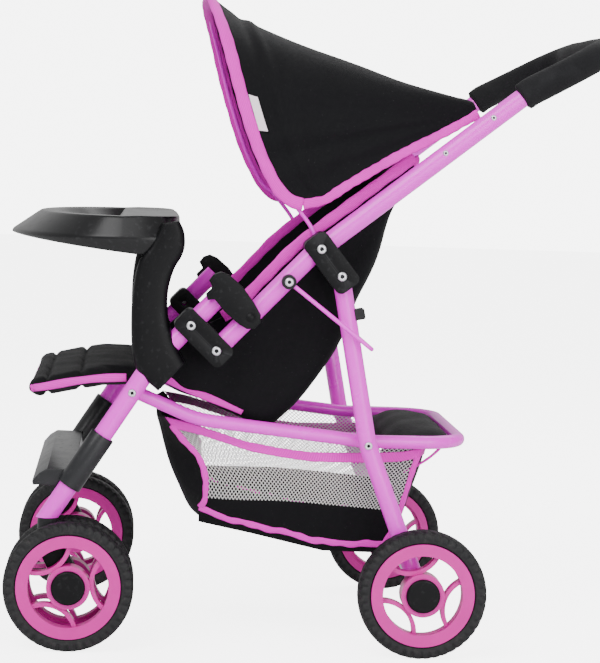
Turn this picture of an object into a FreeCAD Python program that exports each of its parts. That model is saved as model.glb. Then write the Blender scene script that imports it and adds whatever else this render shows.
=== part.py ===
import FreeCAD, Part
import math
import os

# Doll stroller, millimetres. +Z up, the front faces -Y, +X is the doll's left.
# Heights are above the floor. Lengths along Y are given from the front axle
# and moved to the row's origin, the middle of the footprint, by place().

os.makedirs("parts", exist_ok=True)
V = FreeCAD.Vector
X_AXIS = V(1, 0, 0)
SIDES = {"left": 1, "right": -1}

# ---- driving dimensions -------------------------------------------------
front_axle_y = -209.0
wheel_r = 57.5
rim_outer_r = 46.0
rim_ring_r = 35.5
hub_r = 19.3
cap_r = 15.0
axle_r = 4.0
running_gap = 0.05
front_tyre_w = 18.0
rear_tyre_w = 22.0

frame_x = 147.0            # side plane of the legs and the handle tube
twin_offset = 18.5         # each front wheel from the leg's plane
rear_wheel_x = 168.0
wheelbase = 313.0
caster_trail = 20.0

leg_r = 8.5
handle_r = 8.5
rear_leg_r = 8.0
basket_r = 6.0
wall = 1.2
rivet_r = 2.5
pin_hole_r = rivet_r + running_gap

# pivots in side view (y from the front axle, z)
fold_pivot = (124.4, 268.4)
basket_pivot = (51.4, 228.8)
bracket_rivet = (214.2, 360.8)
upper_angle = 38.5
lower_angle = 46.5
leg_angle = 57.5
rear_leg_pivot = (233.1, 337.1)
rear_leg_bend = (262.1, 187.0)
wire_pivot = (186.1, 331.3)
caster_z = 116.0           # lower end of the front legs


# ---- helpers ------------------------------------------------------------
def place(x, y, z):
    """A point given from the front axle, in the row's frame."""
    return V(x, y + front_axle_y, z)


def polar(start, angle, length):
    """A side-view point at a length and angle (degrees) from another."""
    a = math.radians(angle)
    return (start[0] + length * math.cos(a), start[1] + length * math.sin(a))


def rod(x0, x1, yz, r):
    """Solid cylinder along X between two planes."""
    low = min(x0, x1)
    return Part.makeCylinder(r, abs(x1 - x0), place(low, yz[0], yz[1]), X_AXIS)


def ring(x0, x1, yz, r_out, r_in):
    """Tube along X."""
    low, high = min(x0, x1), max(x0, x1)
    return rod(low, high, yz, r_out).cut(rod(low - 1, high + 1, yz, r_in))


def path(points, radii):
    """Straight runs joined by tangent arcs; one radius per inner point."""
    edges = []
    last = points[0]
    for i, radius in enumerate(radii, start=1):
        corner = points[i]
        back = (points[i - 1] - corner).normalize()
        ahead = (points[i + 1] - corner).normalize()
        half = back.getAngle(ahead) / 2
        reach = radius / math.tan(half)
        start = corner + back * reach
        end = corner + ahead * reach
        middle_dir = (back + ahead).normalize()
        middle = corner + middle_dir * (radius / math.sin(half) - radius)
        edges.append(Part.LineSegment(last, start).toShape())
        edges.append(Part.Arc(start, middle, end).toShape())
        last = end
    edges.append(Part.LineSegment(last, points[-1]).toShape())
    return Part.Wire(edges)


def sweep(points, radii, r):
    """Round bar along a path."""
    circle = Part.Circle(points[0], points[1] - points[0], r).toShape()
    return path(points, radii).makePipeShell([Part.Wire(circle)], True, True)


def tube(points, radii, r):
    """Round tube of the common wall thickness along a path."""
    return sweep(points, radii, r).cut(sweep(points, radii, r - wall))


def slab(x0, x1, start, end, width, grow, corner):
    """Rounded plate seen from the side, laid from start to end and past them."""
    length = math.hypot(end[0] - start[0], end[1] - start[1]) + 2 * grow
    angle = math.degrees(math.atan2(end[1] - start[1], end[0] - start[0]))
    low = min(x0, x1)
    box = Part.makeBox(abs(x1 - x0), length, width, V(low, -grow, -width / 2))
    upright = [e for e in box.Edges if abs(e.tangentAt(0).x) > 0.99]
    box = box.makeFillet(corner, upright)
    box.rotate(V(0, 0, 0), X_AXIS, angle)
    box.translate(place(0, start[0], start[1]))
    return box


def profile(x0, x1, outline):
    """Side-view outline given a thickness along X."""
    low = min(x0, x1)
    points = [place(low, y, z) for y, z in outline]
    face = Part.Face(Part.makePolygon(points + points[:1]))
    return face.extrude(V(abs(x1 - x0), 0, 0))


def rivet(x_inner, x_head, yz, head=4.2):
    """Shank with a domed head on its outer end."""
    way = 1 if x_head > x_inner else -1
    shank = rod(x_inner, x_head, yz, rivet_r)
    dome = Part.makeSphere(6.0, place(x_head - way * 4.2, *yz))
    disc = rod(x_head, x_head + way * 1.8, yz, head)
    return shank.fuse(disc.common(dome))


def group(solids):
    """Separate solids kept in one node."""
    return Part.makeCompound(solids)


def save(name, shape):
    """Writes one node."""
    shape.exportStep("parts/" + name + ".step")


# ---- wheels -------------------------------------------------------------
def spoke_bars(x0, x1, centre, first_angle):
    """Three bars bowed towards the hub, each from rim to rim past the hub."""
    arc_centre = 49.0
    arc_r = 28.5
    bar = 3.8
    bars = []
    for k in range(3):
        spot = polar(centre, first_angle + 120 * k, arc_centre)
        bars.append(ring(x0, x1, spot, arc_r + bar / 2, arc_r - bar / 2))
    return bars


def rim(x_mid, side, centre, width, first_angle):
    """Plastic rim: ring with a well, hub, and three bowed bars."""
    half = width / 2
    whole = ring(x_mid - half + 1, x_mid + half - 1, centre, rim_outer_r, rim_ring_r + 3)
    lip = ring(x_mid - 5, x_mid + 5, centre, rim_outer_r - 1, rim_ring_r)
    hub = rod(x_mid - half + 1, x_mid + half - 1, centre, hub_r)
    bounds = rod(x_mid - 5, x_mid + 5, centre, rim_ring_r + 1.5)
    bars = [bar.common(bounds) for bar in spoke_bars(x_mid - 5, x_mid + 5, centre, first_angle)]
    front_face = x_mid + side * (half - 1)
    front_lip = ring(front_face - side * 2.5, front_face, centre, rim_outer_r, rim_ring_r)
    for piece in [front_lip, lip, hub] + bars:
        whole = whole.fuse(piece)
    return whole.cut(rod(x_mid - half - 1, x_mid + half + 1, centre, axle_r + running_gap))


def tyre(x_mid, centre, width):
    """Tyre with a rounded tread that sits on the rim."""
    half = width / 2
    solid = ring(x_mid - half, x_mid + half, centre, wheel_r, rim_outer_r)
    crown = [e for e in solid.Edges if e.Curve.TypeId == "Part::GeomCircle"
             and abs(e.Curve.Radius - wheel_r) < 0.01]
    return solid.makeFillet(4.5, crown)


def hub_cap(x_mid, side, centre, width):
    """Domed cap over the hub with a blind hole that clears the axle's end."""
    face = x_mid + side * (width / 2 - 1)
    disc = rod(face, face + side * 4.0, centre, cap_r)
    outer = [e for e in disc.Edges if e.Curve.TypeId == "Part::GeomCircle"
             and abs(e.CenterOfMass.x - (face + side * 4.0)) < 0.01]
    disc = disc.makeFillet(2.0, outer)
    return disc.cut(rod(face - side, face + side * 2.4, centre, axle_r + 0.4))


front_axle = (0.0, wheel_r)
rear_axle = (wheelbase, wheel_r)
wheels = []
for side_name, side in SIDES.items():
    outer_x = side * (frame_x + twin_offset)
    inner_x = side * (frame_x - twin_offset)
    wheels.append(("front_outer_" + side_name, outer_x, side, front_axle, front_tyre_w, 5))
    wheels.append(("front_inner_" + side_name, inner_x, -side, front_axle, front_tyre_w, 5))
    wheels.append(("rear_" + side_name, side * rear_wheel_x, side, rear_axle, rear_tyre_w, -15))
for name, x_mid, face, centre, width, spoke_angle in wheels:
    save("rim_" + name, rim(x_mid, face, centre, width, spoke_angle))
    save("tyre_" + name, tyre(x_mid, centre, width))
    save("hub_cap_" + name, hub_cap(x_mid, face, centre, width))

# ---- front frame --------------------------------------------------------
leg_bend = polar(basket_pivot, leg_angle, 31)
stub_end = polar(leg_bend, lower_angle, 91)
leg_foot = polar(basket_pivot, leg_angle, -150)
offset = (fold_pivot[0] - leg_bend[0], fold_pivot[1] - leg_bend[1])
lower_dir = (math.cos(math.radians(lower_angle)), math.sin(math.radians(lower_angle)))
reach = offset[0] * lower_dir[0] + offset[1] * lower_dir[1]
stub_rivet = polar(leg_bend, lower_angle, reach)
swivel_y = -caster_trail
cheek = 3.4
cheek_in = frame_x - handle_r - 0.2
cheek_out = frame_x + handle_r + 0.2


def bracket(side, fixed, hinged, width, grow, fixed_r):
    """Forked bracket: solid round one tube, two cheeks for the hinged one."""
    low = side * (cheek_in - cheek)
    high = side * (cheek_out + cheek)
    body = slab(low, high, fixed, hinged, width, grow, 6.0)
    angle = math.degrees(math.atan2(hinged[1] - fixed[1], hinged[0] - fixed[0]))
    start = polar(fixed, angle, fixed_r + 3.0)
    mouth = slab(side * cheek_in, side * cheek_out, start, polar(start, angle, 60), 60, 0.0, 1.0)
    return body.cut(mouth)


front_leg = {}
lower_bracket = {}
for side_name, side in SIDES.items():
    x = side * frame_x
    points = [place(x, *leg_foot), place(x, *leg_bend), place(x, *stub_end)]
    leg = tube(points, [60.0], leg_r)
    below = Part.makeBox(60, 120, 60, place(x - 30, -80, caster_z - 60))
    leg = leg.cut(below)
    leg = leg.cut(rod(x - 20, x + 20, basket_pivot, rivet_r))
    leg = leg.cut(rod(x - 20, x + 20, stub_rivet, rivet_r))
    front_leg[side_name] = leg
    save("front_leg_" + side_name, leg)

    piece = bracket(side, stub_rivet, fold_pivot, 23.0, 12.5, leg_r)
    stub = sweep([points[1], points[2]], [], leg_r)
    piece = piece.cut(stub)
    piece = piece.cut(rod(x - 20, x + 20, stub_rivet, rivet_r))
    piece = piece.cut(rod(x - 20, x + 20, fold_pivot, rivet_r))
    lower_bracket[side_name] = piece
    save("lower_bracket_" + side_name, piece)

    # caster socket: a plug in the leg's end and a short upright housing
    stem_x = V(x, swivel_y + front_axle_y, 0)
    housing = Part.makeCylinder(9.0, 14.0, stem_x + V(0, 0, caster_z - 14))
    housing = housing.cut(Part.makeCylinder(5.0 + running_gap, 12.0, stem_x + V(0, 0, caster_z - 15)))
    save("caster_socket_" + side_name, housing)

    # caster: stem, arm between the twin wheels, hub round the axle
    stem = Part.makeCylinder(5.0, 19.0, stem_x + V(0, 0, caster_z - 23))
    arm_outline = [(swivel_y - 8, caster_z - 15), (swivel_y + 9, caster_z - 15),
                   (12, wheel_r + 4), (9, wheel_r - 9), (-7, wheel_r - 9), (swivel_y - 8, caster_z - 28)]
    arm = profile(x - 6, x + 6, arm_outline).fuse([stem, rod(x - 8.5, x + 8.5, front_axle, 10.0)])
    arm = arm.cut(rod(x - 12, x + 12, front_axle, axle_r))
    save("caster_fork_" + side_name, arm)
    axle_half = twin_offset + front_tyre_w / 2 - 1 + 1.5
    save("front_axle_" + side_name, rod(x - axle_half, x + axle_half, front_axle, axle_r))

head_x = frame_x + handle_r + 0.2 + cheek
tube_face = frame_x + leg_r
front_rivets = []
for side in SIDES.values():
    shank_in = side * (cheek_in - cheek)
    front_rivets.append(rivet(shank_in, side * head_x, stub_rivet))
    front_rivets.append(rivet(shank_in, side * head_x, fold_pivot))
    front_rivets.append(rivet(side * 123.0, side * tube_face, basket_pivot))
save("front_frame_rivets", group(front_rivets))

# footrest: a sleeve on each leg and a stepped plate between them
sleeve_top = polar(basket_pivot, leg_angle, -46)
sleeve_foot = polar(basket_pivot, leg_angle, -100)
foot_parts = []
for side in SIDES.values():
    x = side * frame_x
    foot_parts.append(sweep([place(x, *sleeve_top), place(x, *sleeve_foot)], [], leg_r + 2.5))
plate_outline = [(3, 158), (-22, 158.5), (-29, 154), (-35, 147), (-34, 143.5), (-27, 144), (-6, 142.5),
                 (4, 147)]
foot_plate = profile(-(frame_x - 4), frame_x - 4, plate_outline)
under_outline = [(-3, 154.5), (-21, 155), (-26.5, 151), (-24, 140), (-3, 140)]
foot_plate = foot_plate.cut(profile(-(frame_x - 16), frame_x - 16, under_outline))
footrest = foot_plate.fuse(foot_parts)
for side in SIDES.values():
    x = side * frame_x
    footrest = footrest.cut(sweep([place(x, *leg_bend), place(x, *leg_foot)], [], leg_r))
save("footrest", footrest)

# leg rest: the stiffened front flap of the seat
rest_half = 138.0
rest_inner = 122.0
rest_outline = [(-42, 222), (-40, 232), (20, 245), (34, 247), (34, 234), (22, 231)]
rest_back = [(34, 247), (66, 246), (66, 233), (34, 234)]
leg_rest = profile(-rest_half, rest_half, rest_outline)
leg_rest = leg_rest.fuse(profile(-rest_inner, rest_inner, rest_back))
save("leg_rest", leg_rest)

# ---- tray and its arms ----------------------------------------------------
tray_half = 157.0
tray_top = 384.0
tray_front = -65.0
tray_rear = 92.0


def tray_outline(grow, front, rear, z, shoulder=40.0):
    """D-shaped plan: straight rear, arched front."""
    half = tray_half + grow
    points = [place(-half, rear, z), place(-half, shoulder, z), place(0, front, z),
              place(half, shoulder, z), place(half, rear, z)]
    arch = Part.Ellipse(place(0, shoulder, z), half, shoulder - front)
    arch = Part.ArcOfEllipse(arch, math.pi, 2 * math.pi).toShape()
    sides = [Part.LineSegment(points[3], points[4]).toShape(),
             Part.LineSegment(points[4], points[0]).toShape(),
             Part.LineSegment(points[0], points[1]).toShape()]
    return Part.Wire(Part.sortEdges([arch] + sides)[0])


upper = tray_outline(-9.0, tray_front + 26, tray_rear, tray_top)
middle = tray_outline(0.0, tray_front, tray_rear, tray_top - 19)
shell = Part.makeLoft([upper, middle], True, True)
lower = tray_outline(-6.0, tray_front + 4, tray_rear, tray_top - 33)
shell = shell.fuse(Part.makeLoft([middle, lower], True, True))
wedge = profile(-200, 200, [(-90, 365), (55, 350.5), (120, 350.5), (120, 330), (-90, 330)])
shell = shell.cut(wedge)
recess_top = tray_outline(-26.0, tray_front + 44, 40, tray_top + 1, 22.0)
recess_low = tray_outline(-34.0, tray_front + 52, 34, tray_top - 10, 20.0)
shell = shell.cut(Part.makeLoft([recess_low, recess_top], True, True))
cup_x = 78.0
shell = shell.cut(Part.makeCylinder(30.0, 14.0, place(cup_x, 10, tray_top - 20)))
hollow_low = tray_outline(-7.0, tray_front + 14, tray_rear - 5, tray_top - 50)
hollow = Part.Face(hollow_low).extrude(V(0, 0, 36))
hollow = hollow.cut(Part.makeCylinder(33.0, 60.0, place(cup_x, 10, tray_top - 60)))
hollow = hollow.cut(profile(-200, 200, [(44, 340), (44, 380), (47, 380), (47, 340)]))
tray = shell.cut(hollow)
shoulder_outline = [(48, tray_top - 0.5), (62, tray_top + 1), (84, tray_top + 1), (92, tray_top - 1),
                    (92, tray_top - 4), (48, tray_top - 4)]
for side in SIDES.values():
    tray = tray.fuse(profile(side * (tray_half - 50), side * (tray_half - 3), shoulder_outline))
save("tray", tray)

arm_outline = [(56, 350.5), (50, 330), (48.5, 305), (49, 268), (53, 252), (60, 243), (74, 233),
               (97, 258), (90, 272), (84, 288), (80, 311), (82, 336), (92, 350.5)]
for side_name, side in SIDES.items():
    inner_x = side * (frame_x - 10.5)
    outer_x = side * (frame_x + 10.5)
    arm = profile(inner_x, outer_x, arm_outline)
    x = side * frame_x
    leg_bar = sweep([place(x, *leg_foot), place(x, *leg_bend), place(x, *stub_end)], [60.0], leg_r)
    arm = arm.cut(leg_bar).cut(lower_bracket[side_name])
    core = profile(side * (frame_x - 7.5), side * (frame_x + 7.5),
                   [(60, 348), (55, 328), (54, 306), (54.5, 290),
                    (78, 290), (76, 311), (78, 336), (84, 348)])
    arm = arm.cut(core)
    save("tray_arm_" + side_name, max(arm.Solids, key=lambda s: s.Volume))

# ---- handle frame ---------------------------------------------------------
handle_bend = polar(fold_pivot, lower_angle, 118)
grip_start = polar(handle_bend, upper_angle, 243)
grip_angle = 28.5
grip_corner = polar(grip_start, grip_angle, 86)
tube_foot = polar(fold_pivot, lower_angle, -7)
side_points = [tube_foot, handle_bend, grip_start, grip_corner]
handle_path = [place(frame_x, *p) for p in side_points]
handle_path += [place(-frame_x, *p) for p in reversed(side_points)]
corner_r = 62.0
handle_radii = [60.0, 70.0, corner_r, corner_r, 70.0, 60.0]
handle = tube(handle_path, handle_radii, handle_r)
for side in SIDES.values():
    x = side * frame_x
    handle = handle.cut(rod(x - 20, x + 20, fold_pivot, pin_hole_r))
    handle = handle.cut(rod(x - 20, x + 20, bracket_rivet, rivet_r))
    handle = handle.cut(rod(x - 20, x + 20, wire_pivot, rivet_r))
save("handle_tube", handle)

foam_r = 12.5
foam_start = polar(handle_bend, upper_angle, 233)
foam_side = [foam_start, grip_start, grip_corner]
foam_path = [place(frame_x, *p) for p in foam_side]
foam_path += [place(-frame_x, *p) for p in reversed(foam_side)]
foam_radii = [8.0, corner_r, corner_r, 8.0]
foam = sweep(foam_path, foam_radii, foam_r)
handle_bar = sweep(handle_path, handle_radii, handle_r)
foam = foam.cut(handle_bar)
save("grip", foam)

for side_name, side in SIDES.items():
    x = side * frame_x
    piece = bracket(side, bracket_rivet, rear_leg_pivot, 24.0, 13.0, handle_r)
    piece = piece.cut(handle_bar)
    piece = piece.cut(rod(x - 20, x + 20, bracket_rivet, rivet_r))
    piece = piece.cut(rod(x - 20, x + 20, rear_leg_pivot, rivet_r))
    save("upper_bracket_" + side_name, piece)

handle_rivets = []
bow_tail = 127.2
cap_out = 166.5
for side in SIDES.values():
    shank_in = side * (cheek_in - cheek)
    handle_rivets.append(rivet(side * bow_tail, side * head_x, bracket_rivet))
    handle_rivets.append(rivet(shank_in, side * head_x, rear_leg_pivot))
    handle_rivets.append(rivet(side * (frame_x - handle_r), side * cap_out, wire_pivot, 3.8))
save("handle_frame_rivets", group(handle_rivets))

# ---- latches ----------------------------------------------------------------
latch_pivot = polar(fold_pivot, lower_angle, 42)
latch_in = frame_x + handle_r + 0.4
latch_out = latch_in + 11.0
latch_outline = [(116, 330.5), (120, 336), (126.5, 338.5), (134, 335.5), (146, 325.5), (156, 312),
                 (162, 302), (162, 295), (157, 289.5), (150, 289), (143, 293), (130, 304),
                 (121, 314.5), (115, 313.5), (113.5, 318.5), (119.5, 324.5)]
latch_pins = []
for side_name, side in SIDES.items():
    claw = profile(side * latch_in, side * latch_out, latch_outline)
    claw = claw.cut(rod(side * (latch_in - 1), side * (latch_out + 1), latch_pivot, pin_hole_r))
    save("latch_" + side_name, claw)
    latch_pins.append(rivet(side * (frame_x + handle_r), side * (latch_out + 0.3), latch_pivot))
save("latch_pins", group(latch_pins))

# ---- rear frame -------------------------------------------------------------
rear_leg_top = polar(rear_leg_pivot, math.degrees(math.atan2(
    rear_leg_pivot[1] - rear_leg_bend[1], rear_leg_pivot[0] - rear_leg_bend[0])), 6.5)
low_angle = math.degrees(math.atan2(rear_axle[1] - rear_leg_bend[1], rear_axle[0] - rear_leg_bend[0]))
rear_leg_foot = polar(rear_axle, low_angle, 12)
for side_name, side in SIDES.items():
    x = side * frame_x
    points = [place(x, *rear_leg_top), place(x, *rear_leg_bend), place(x, *rear_leg_foot)]
    leg = tube(points, [70.0], rear_leg_r)
    leg = leg.cut(rod(x - 20, x + 20, rear_leg_pivot, pin_hole_r))
    leg = leg.cut(rod(x - 20, x + 20, rear_leg_bend, rivet_r))
    leg = leg.cut(rod(x - 20, x + 20, rear_axle, axle_r))
    save("rear_leg_" + side_name, leg)
rear_axle_half = rear_wheel_x + rear_tyre_w / 2 - 1 + 1.5
save("rear_axle", rod(-rear_axle_half, rear_axle_half, rear_axle, axle_r))

down_angle = math.degrees(math.atan2(
    rear_leg_bend[1] - rear_leg_pivot[1], rear_leg_bend[0] - rear_leg_pivot[0]))
clip_low = polar(rear_leg_pivot, down_angle, 31)
clip_high = polar(rear_leg_pivot, down_angle, 41)
clips = []
rear_rivets = []
basket_x = 122.0
for side in SIDES.values():
    x = side * frame_x
    clip = slab(x - 5, x + 5, clip_low, clip_high, 31.0, 0.0, 2.0)
    front_half = polar(clip_low, down_angle - 90, 30)
    clip = clip.cut(slab(x - 6, x + 6, polar(front_half, down_angle, -10),
                         polar(front_half, down_angle, 30), 60.0, 0.0, 1.0))
    leg_bar = sweep([place(x, *rear_leg_top), place(x, *rear_leg_bend)], [], rear_leg_r)
    clip = clip.cut(leg_bar)
    clips.append(max(clip.Solids, key=lambda s: s.Volume))
    spacer_in = side * (basket_x + basket_r + 0.6)
    spacer = rod(spacer_in, side * (frame_x - rear_leg_r), rear_leg_bend, 6.0)
    rear_rivets.append(spacer)
    rear_rivets.append(rivet(side * (frame_x - rear_leg_r), side * (frame_x + rear_leg_r), rear_leg_bend))
save("rear_leg_clips", group(clips))
save("rear_frame_rivets", group(rear_rivets))

# ---- lock wire ----------------------------------------------------------------
# A bail that hangs behind both rear legs. Its ends sit in caps that turn on
# rivets on the handle tube.
wire_r = 1.9
wire_x = 163.2
wire_angle = -37.4
wire_start = polar(wire_pivot, wire_angle, 3.4)
wire_end = polar(wire_pivot, wire_angle, 95)
wire_path = [place(wire_x, *wire_start), place(wire_x, *wire_end),
             place(-wire_x, *wire_end), place(-wire_x, *wire_start)]
wire = sweep(wire_path, [6.0, 6.0], wire_r)
save("lock_wire", wire)
caps = []
for side in SIDES.values():
    cap = ring(side * (frame_x + handle_r + 0.3), side * (cap_out - 0.3), wire_pivot, 6.4, pin_hole_r)
    caps.append(cap.cut(wire))
save("lock_wire_caps", group(caps))

# ---- basket -------------------------------------------------------------------
basket_line = [basket_pivot, (110.0, 203.5), (262.1, 187.0), (352.0, 187.0)]
basket_half = [131.0, 124.0, basket_x, basket_x - 4]
basket_left = [place(x, *p) for x, p in zip(basket_half, basket_line)]
basket_right = [V(-p.x, p.y, p.z) for p in reversed(basket_left)]
basket_path = basket_left + basket_right
basket_radii = [90.0, 90.0, 40.0, 40.0, 90.0, 90.0]
basket_tube = sweep(basket_path, basket_radii, basket_r)
eye_run = (basket_left[1] - basket_left[0]).normalize() * 10.0
bore_path = list(basket_path)
bore_path[0] = basket_left[0] + eye_run
bore_path[-1] = V(-bore_path[0].x, bore_path[0].y, bore_path[0].z)
eye_half = basket_r + 0.8
for side in SIDES.values():
    eye_x = side * basket_half[0]
    basket_tube = basket_tube.fuse(rod(eye_x - eye_half, eye_x + eye_half, basket_pivot, 7.2))
basket_tube = basket_tube.cut(sweep(bore_path, basket_radii, basket_r - wall))
for side in SIDES.values():
    basket_tube = basket_tube.cut(rod(side * 118, side * 142, basket_pivot, pin_hole_r))
save("basket_tube", basket_tube)

bag_half = 112.0
cloth = 2.5
bag_outer = [(82, 205), (88, 172), (101, 130), (114, 103), (128, 95), (163, 90), (228, 80), (284, 76),
             (300, 90), (318, 140), (334, 178), (262, 180), (160, 190)]
bag_inner = [(86.5, 215), (91, 173), (103.5, 131.5), (116, 105.5), (129, 97.8), (163.4, 92.6),
             (228.2, 82.6), (283, 78.7), (297.5, 91.5), (315.3, 141), (330.4, 178), (334, 215)]
bag = profile(-bag_half, bag_half, bag_outer)
bag = bag.cut(profile(-(bag_half - cloth), bag_half - cloth, bag_inner))
save("basket_bag", bag)

# ---- seat ---------------------------------------------------------------------
seat_half = 126.5
seat_outer = [(127, 262), (129.5, 291), (197.5, 363), (297.5, 442.5), (306, 434), (292, 421), (268, 360),
              (252, 316), (243, 283), (233, 263), (210, 231), (190, 207)]
seat_inner = [(110, 300), (190, 372), (290, 455), (303, 436), (289.2, 422.2), (265.2, 361.1),
              (249.1, 316.9), (240.2, 284.2), (230.6, 264.6), (207.9, 232.8), (150, 158)]
seat_back = profile(-seat_half, seat_half, seat_outer)
seat_back = seat_back.cut(profile(-(seat_half - cloth), seat_half - cloth, seat_inner))
save("seat_back", seat_back)
pan_outer = [(69, 240), (70, 252), (94, 275), (117, 293), (122, 262), (178, 206), (147, 212), (100, 225)]
pan_inner = [(60, 245), (60, 300), (140, 330), (190, 238),
             (177, 208.8), (147.5, 214.7), (101, 227.7), (66, 243)]
seat_pan = profile(-seat_half + 6, seat_half - 6, pan_outer)
seat_pan = seat_pan.cut(profile(-(seat_half - 6 - cloth), seat_half - 6 - cloth, pan_inner))
save("seat_pan", seat_pan)

# ---- canopy ---------------------------------------------------------------------
bow_r = 1.9
bow_base = (196.0, 398.0)
bow_top = (118.5, 578.0)
bow_half = 129.6
bow_corner = 85.0
bow_angle = math.degrees(math.atan2(bow_base[1] - bracket_rivet[1], bow_base[0] - bracket_rivet[0]))
bow_foot = polar(bracket_rivet, bow_angle, 3.6)
bow_left = [place(bow_half, *bow_foot), place(bow_half, *bow_base), place(bow_half - 17, *bow_top)]
bow_path = bow_left + [V(-p.x, p.y, p.z) for p in reversed(bow_left)]
bow_radii = [10.0, bow_corner, bow_corner, 10.0]
bow_wire = sweep(bow_path, bow_radii, bow_r)
bow = bow_wire
for side in SIDES.values():
    bow = bow.fuse(ring(side * (bow_half - 1.6), side * (bow_half + 1.6), bracket_rivet, 5.0, pin_hole_r))
save("canopy_bow", bow)


def arch(base, top, half, corner, rise):
    """Closed arch section across the canopy, from side to side over the top."""
    dy, dz = top[0] - base[0], top[1] - base[1]
    height = math.hypot(dy, dz)
    up = V(0, dy / height, dz / height)
    foot = place(0, *base) - up * rise
    low_left = foot + V(half, 0, 0)
    low_right = foot - V(half, 0, 0)
    tall = height + rise
    turn_left = foot + V(half, 0, 0) + up * (tall - corner)
    turn_right = foot - V(half, 0, 0) + up * (tall - corner)
    top_left = foot + V(half - corner, 0, 0) + up * tall
    top_right = foot - V(half - corner, 0, 0) + up * tall
    k = math.sqrt(0.5) * corner
    mid_left = foot + V(half - corner + k, 0, 0) + up * (tall - corner + k)
    mid_right = foot - V(half - corner + k, 0, 0) + up * (tall - corner + k)
    return Part.Wire([
        Part.LineSegment(low_right, low_left).toShape(),
        Part.LineSegment(low_left, turn_left).toShape(),
        Part.Arc(turn_left, mid_left, top_left).toShape(),
        Part.LineSegment(top_left, top_right).toShape(),
        Part.Arc(top_right, mid_right, turn_right).toShape(),
        Part.LineSegment(turn_right, low_right).toShape()])


canopy_half = 134.0
canopy_corner = 88.0
rear_base = (352.0, 484.5)
rear_top = (347.0, 494.5)
inner_half = canopy_half - cloth
inner_corner = canopy_corner - cloth
hood_foot = (192.0, 399.0)
hood_mouth = arch(hood_foot, (115.8, 581.0), inner_half, inner_corner, 14)
cover = Part.makeLoft([arch(hood_foot, (115.0, 583.5), canopy_half, canopy_corner, 0),
                       arch(rear_base, rear_top, canopy_half, 6.0, 0)], True, True)
inside = Part.makeLoft([hood_mouth, arch(rear_base, (347.8, 492.0), inner_half, 6.0 - cloth, 14)], True, True)
front_extra = Part.makeLoft([arch((166.0, 388.0), (89.8, 570.0), inner_half, inner_corner, 14),
                             hood_mouth], True, True)
cover = cover.cut(inside).cut(front_extra).cut(sweep(bow_path, bow_radii, bow_r + running_gap))
save("canopy_cover", max(cover.Solids, key=lambda s: s.Volume))
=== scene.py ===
import logging
import math
from collections.abc import Sequence
from dataclasses import dataclass
from enum import Enum
from functools import cache

import bmesh
import bpy
import numpy as np
from mathutils import Matrix, Vector


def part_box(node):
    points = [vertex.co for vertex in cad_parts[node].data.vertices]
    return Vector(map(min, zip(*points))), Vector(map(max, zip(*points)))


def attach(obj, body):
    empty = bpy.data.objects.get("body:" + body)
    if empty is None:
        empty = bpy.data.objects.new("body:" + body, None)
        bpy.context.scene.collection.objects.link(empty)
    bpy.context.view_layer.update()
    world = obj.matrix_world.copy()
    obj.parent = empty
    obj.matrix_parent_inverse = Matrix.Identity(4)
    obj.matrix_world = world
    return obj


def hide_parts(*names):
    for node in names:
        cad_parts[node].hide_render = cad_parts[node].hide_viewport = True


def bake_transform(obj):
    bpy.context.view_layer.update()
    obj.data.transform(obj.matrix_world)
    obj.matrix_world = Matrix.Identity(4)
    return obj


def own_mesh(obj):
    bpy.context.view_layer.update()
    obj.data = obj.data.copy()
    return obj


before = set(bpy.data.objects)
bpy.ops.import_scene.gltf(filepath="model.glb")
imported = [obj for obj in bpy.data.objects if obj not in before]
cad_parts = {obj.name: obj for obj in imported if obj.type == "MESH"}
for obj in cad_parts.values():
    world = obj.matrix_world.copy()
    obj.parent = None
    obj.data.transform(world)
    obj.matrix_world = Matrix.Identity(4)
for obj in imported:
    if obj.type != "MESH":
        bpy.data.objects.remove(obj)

# A doll stroller. Sizes are millimetres, lengths along Y are given from the
# front axle, heights from the floor; place() moves them to the row's frame.
MM = 0.001
SIDES = {"left": 1.0, "right": -1.0}
MIRROR = np.array([-1.0, 1.0, 1.0])
log = logging.getLogger("stroller")
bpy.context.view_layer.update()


def axle_y() -> float:
    """The front axle's place along Y in the row's frame, in millimetres."""
    low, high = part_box("front_axle_left")
    return (low.y + high.y) / 2 / MM


AXLE_Y = axle_y()


# ---------------------------------------------------------------- geometry
def place(points: np.ndarray) -> np.ndarray:
    """Moves points from millimetres past the front axle to metres in the row's frame."""
    return (np.asarray(points, float) + np.array([0.0, AXLE_Y, 0.0])) * MM


def unit(vectors: np.ndarray) -> np.ndarray:
    """Scales vectors, along the last axis, to length one."""
    return vectors / np.maximum(np.linalg.norm(vectors, axis=-1, keepdims=True), 1e-12)


def polar(start: Sequence[float], angle: float, length: float) -> tuple[float, float]:
    """A side-view point (y, z) at an angle in degrees and a length from another."""
    a = math.radians(angle)
    return (start[0] + length * math.cos(a), start[1] + length * math.sin(a))


def step(low: float, high: float, x: np.ndarray) -> np.ndarray:
    """Smooth step: 0 below low, 1 above high, 3t^2 - 2t^3 between them."""
    t = np.clip((x - low) / (high - low), 0, 1)
    return t * t * (3 - 2 * t)


def bump(centre: float, width: float, x: np.ndarray) -> np.ndarray:
    """Bell curve: e to the power of minus the squared distance over the squared width."""
    return np.exp(-(((x - centre) / width) ** 2))


def even(points: np.ndarray, count: int) -> np.ndarray:
    """Spreads count points evenly by length along a polyline of any dimension."""
    points = np.asarray(points, float)
    along = lengths(points)
    wanted = np.linspace(0, along[-1], count)
    return np.stack([np.interp(wanted, along, points[:, k]) for k in range(points.shape[1])], 1)


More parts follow.
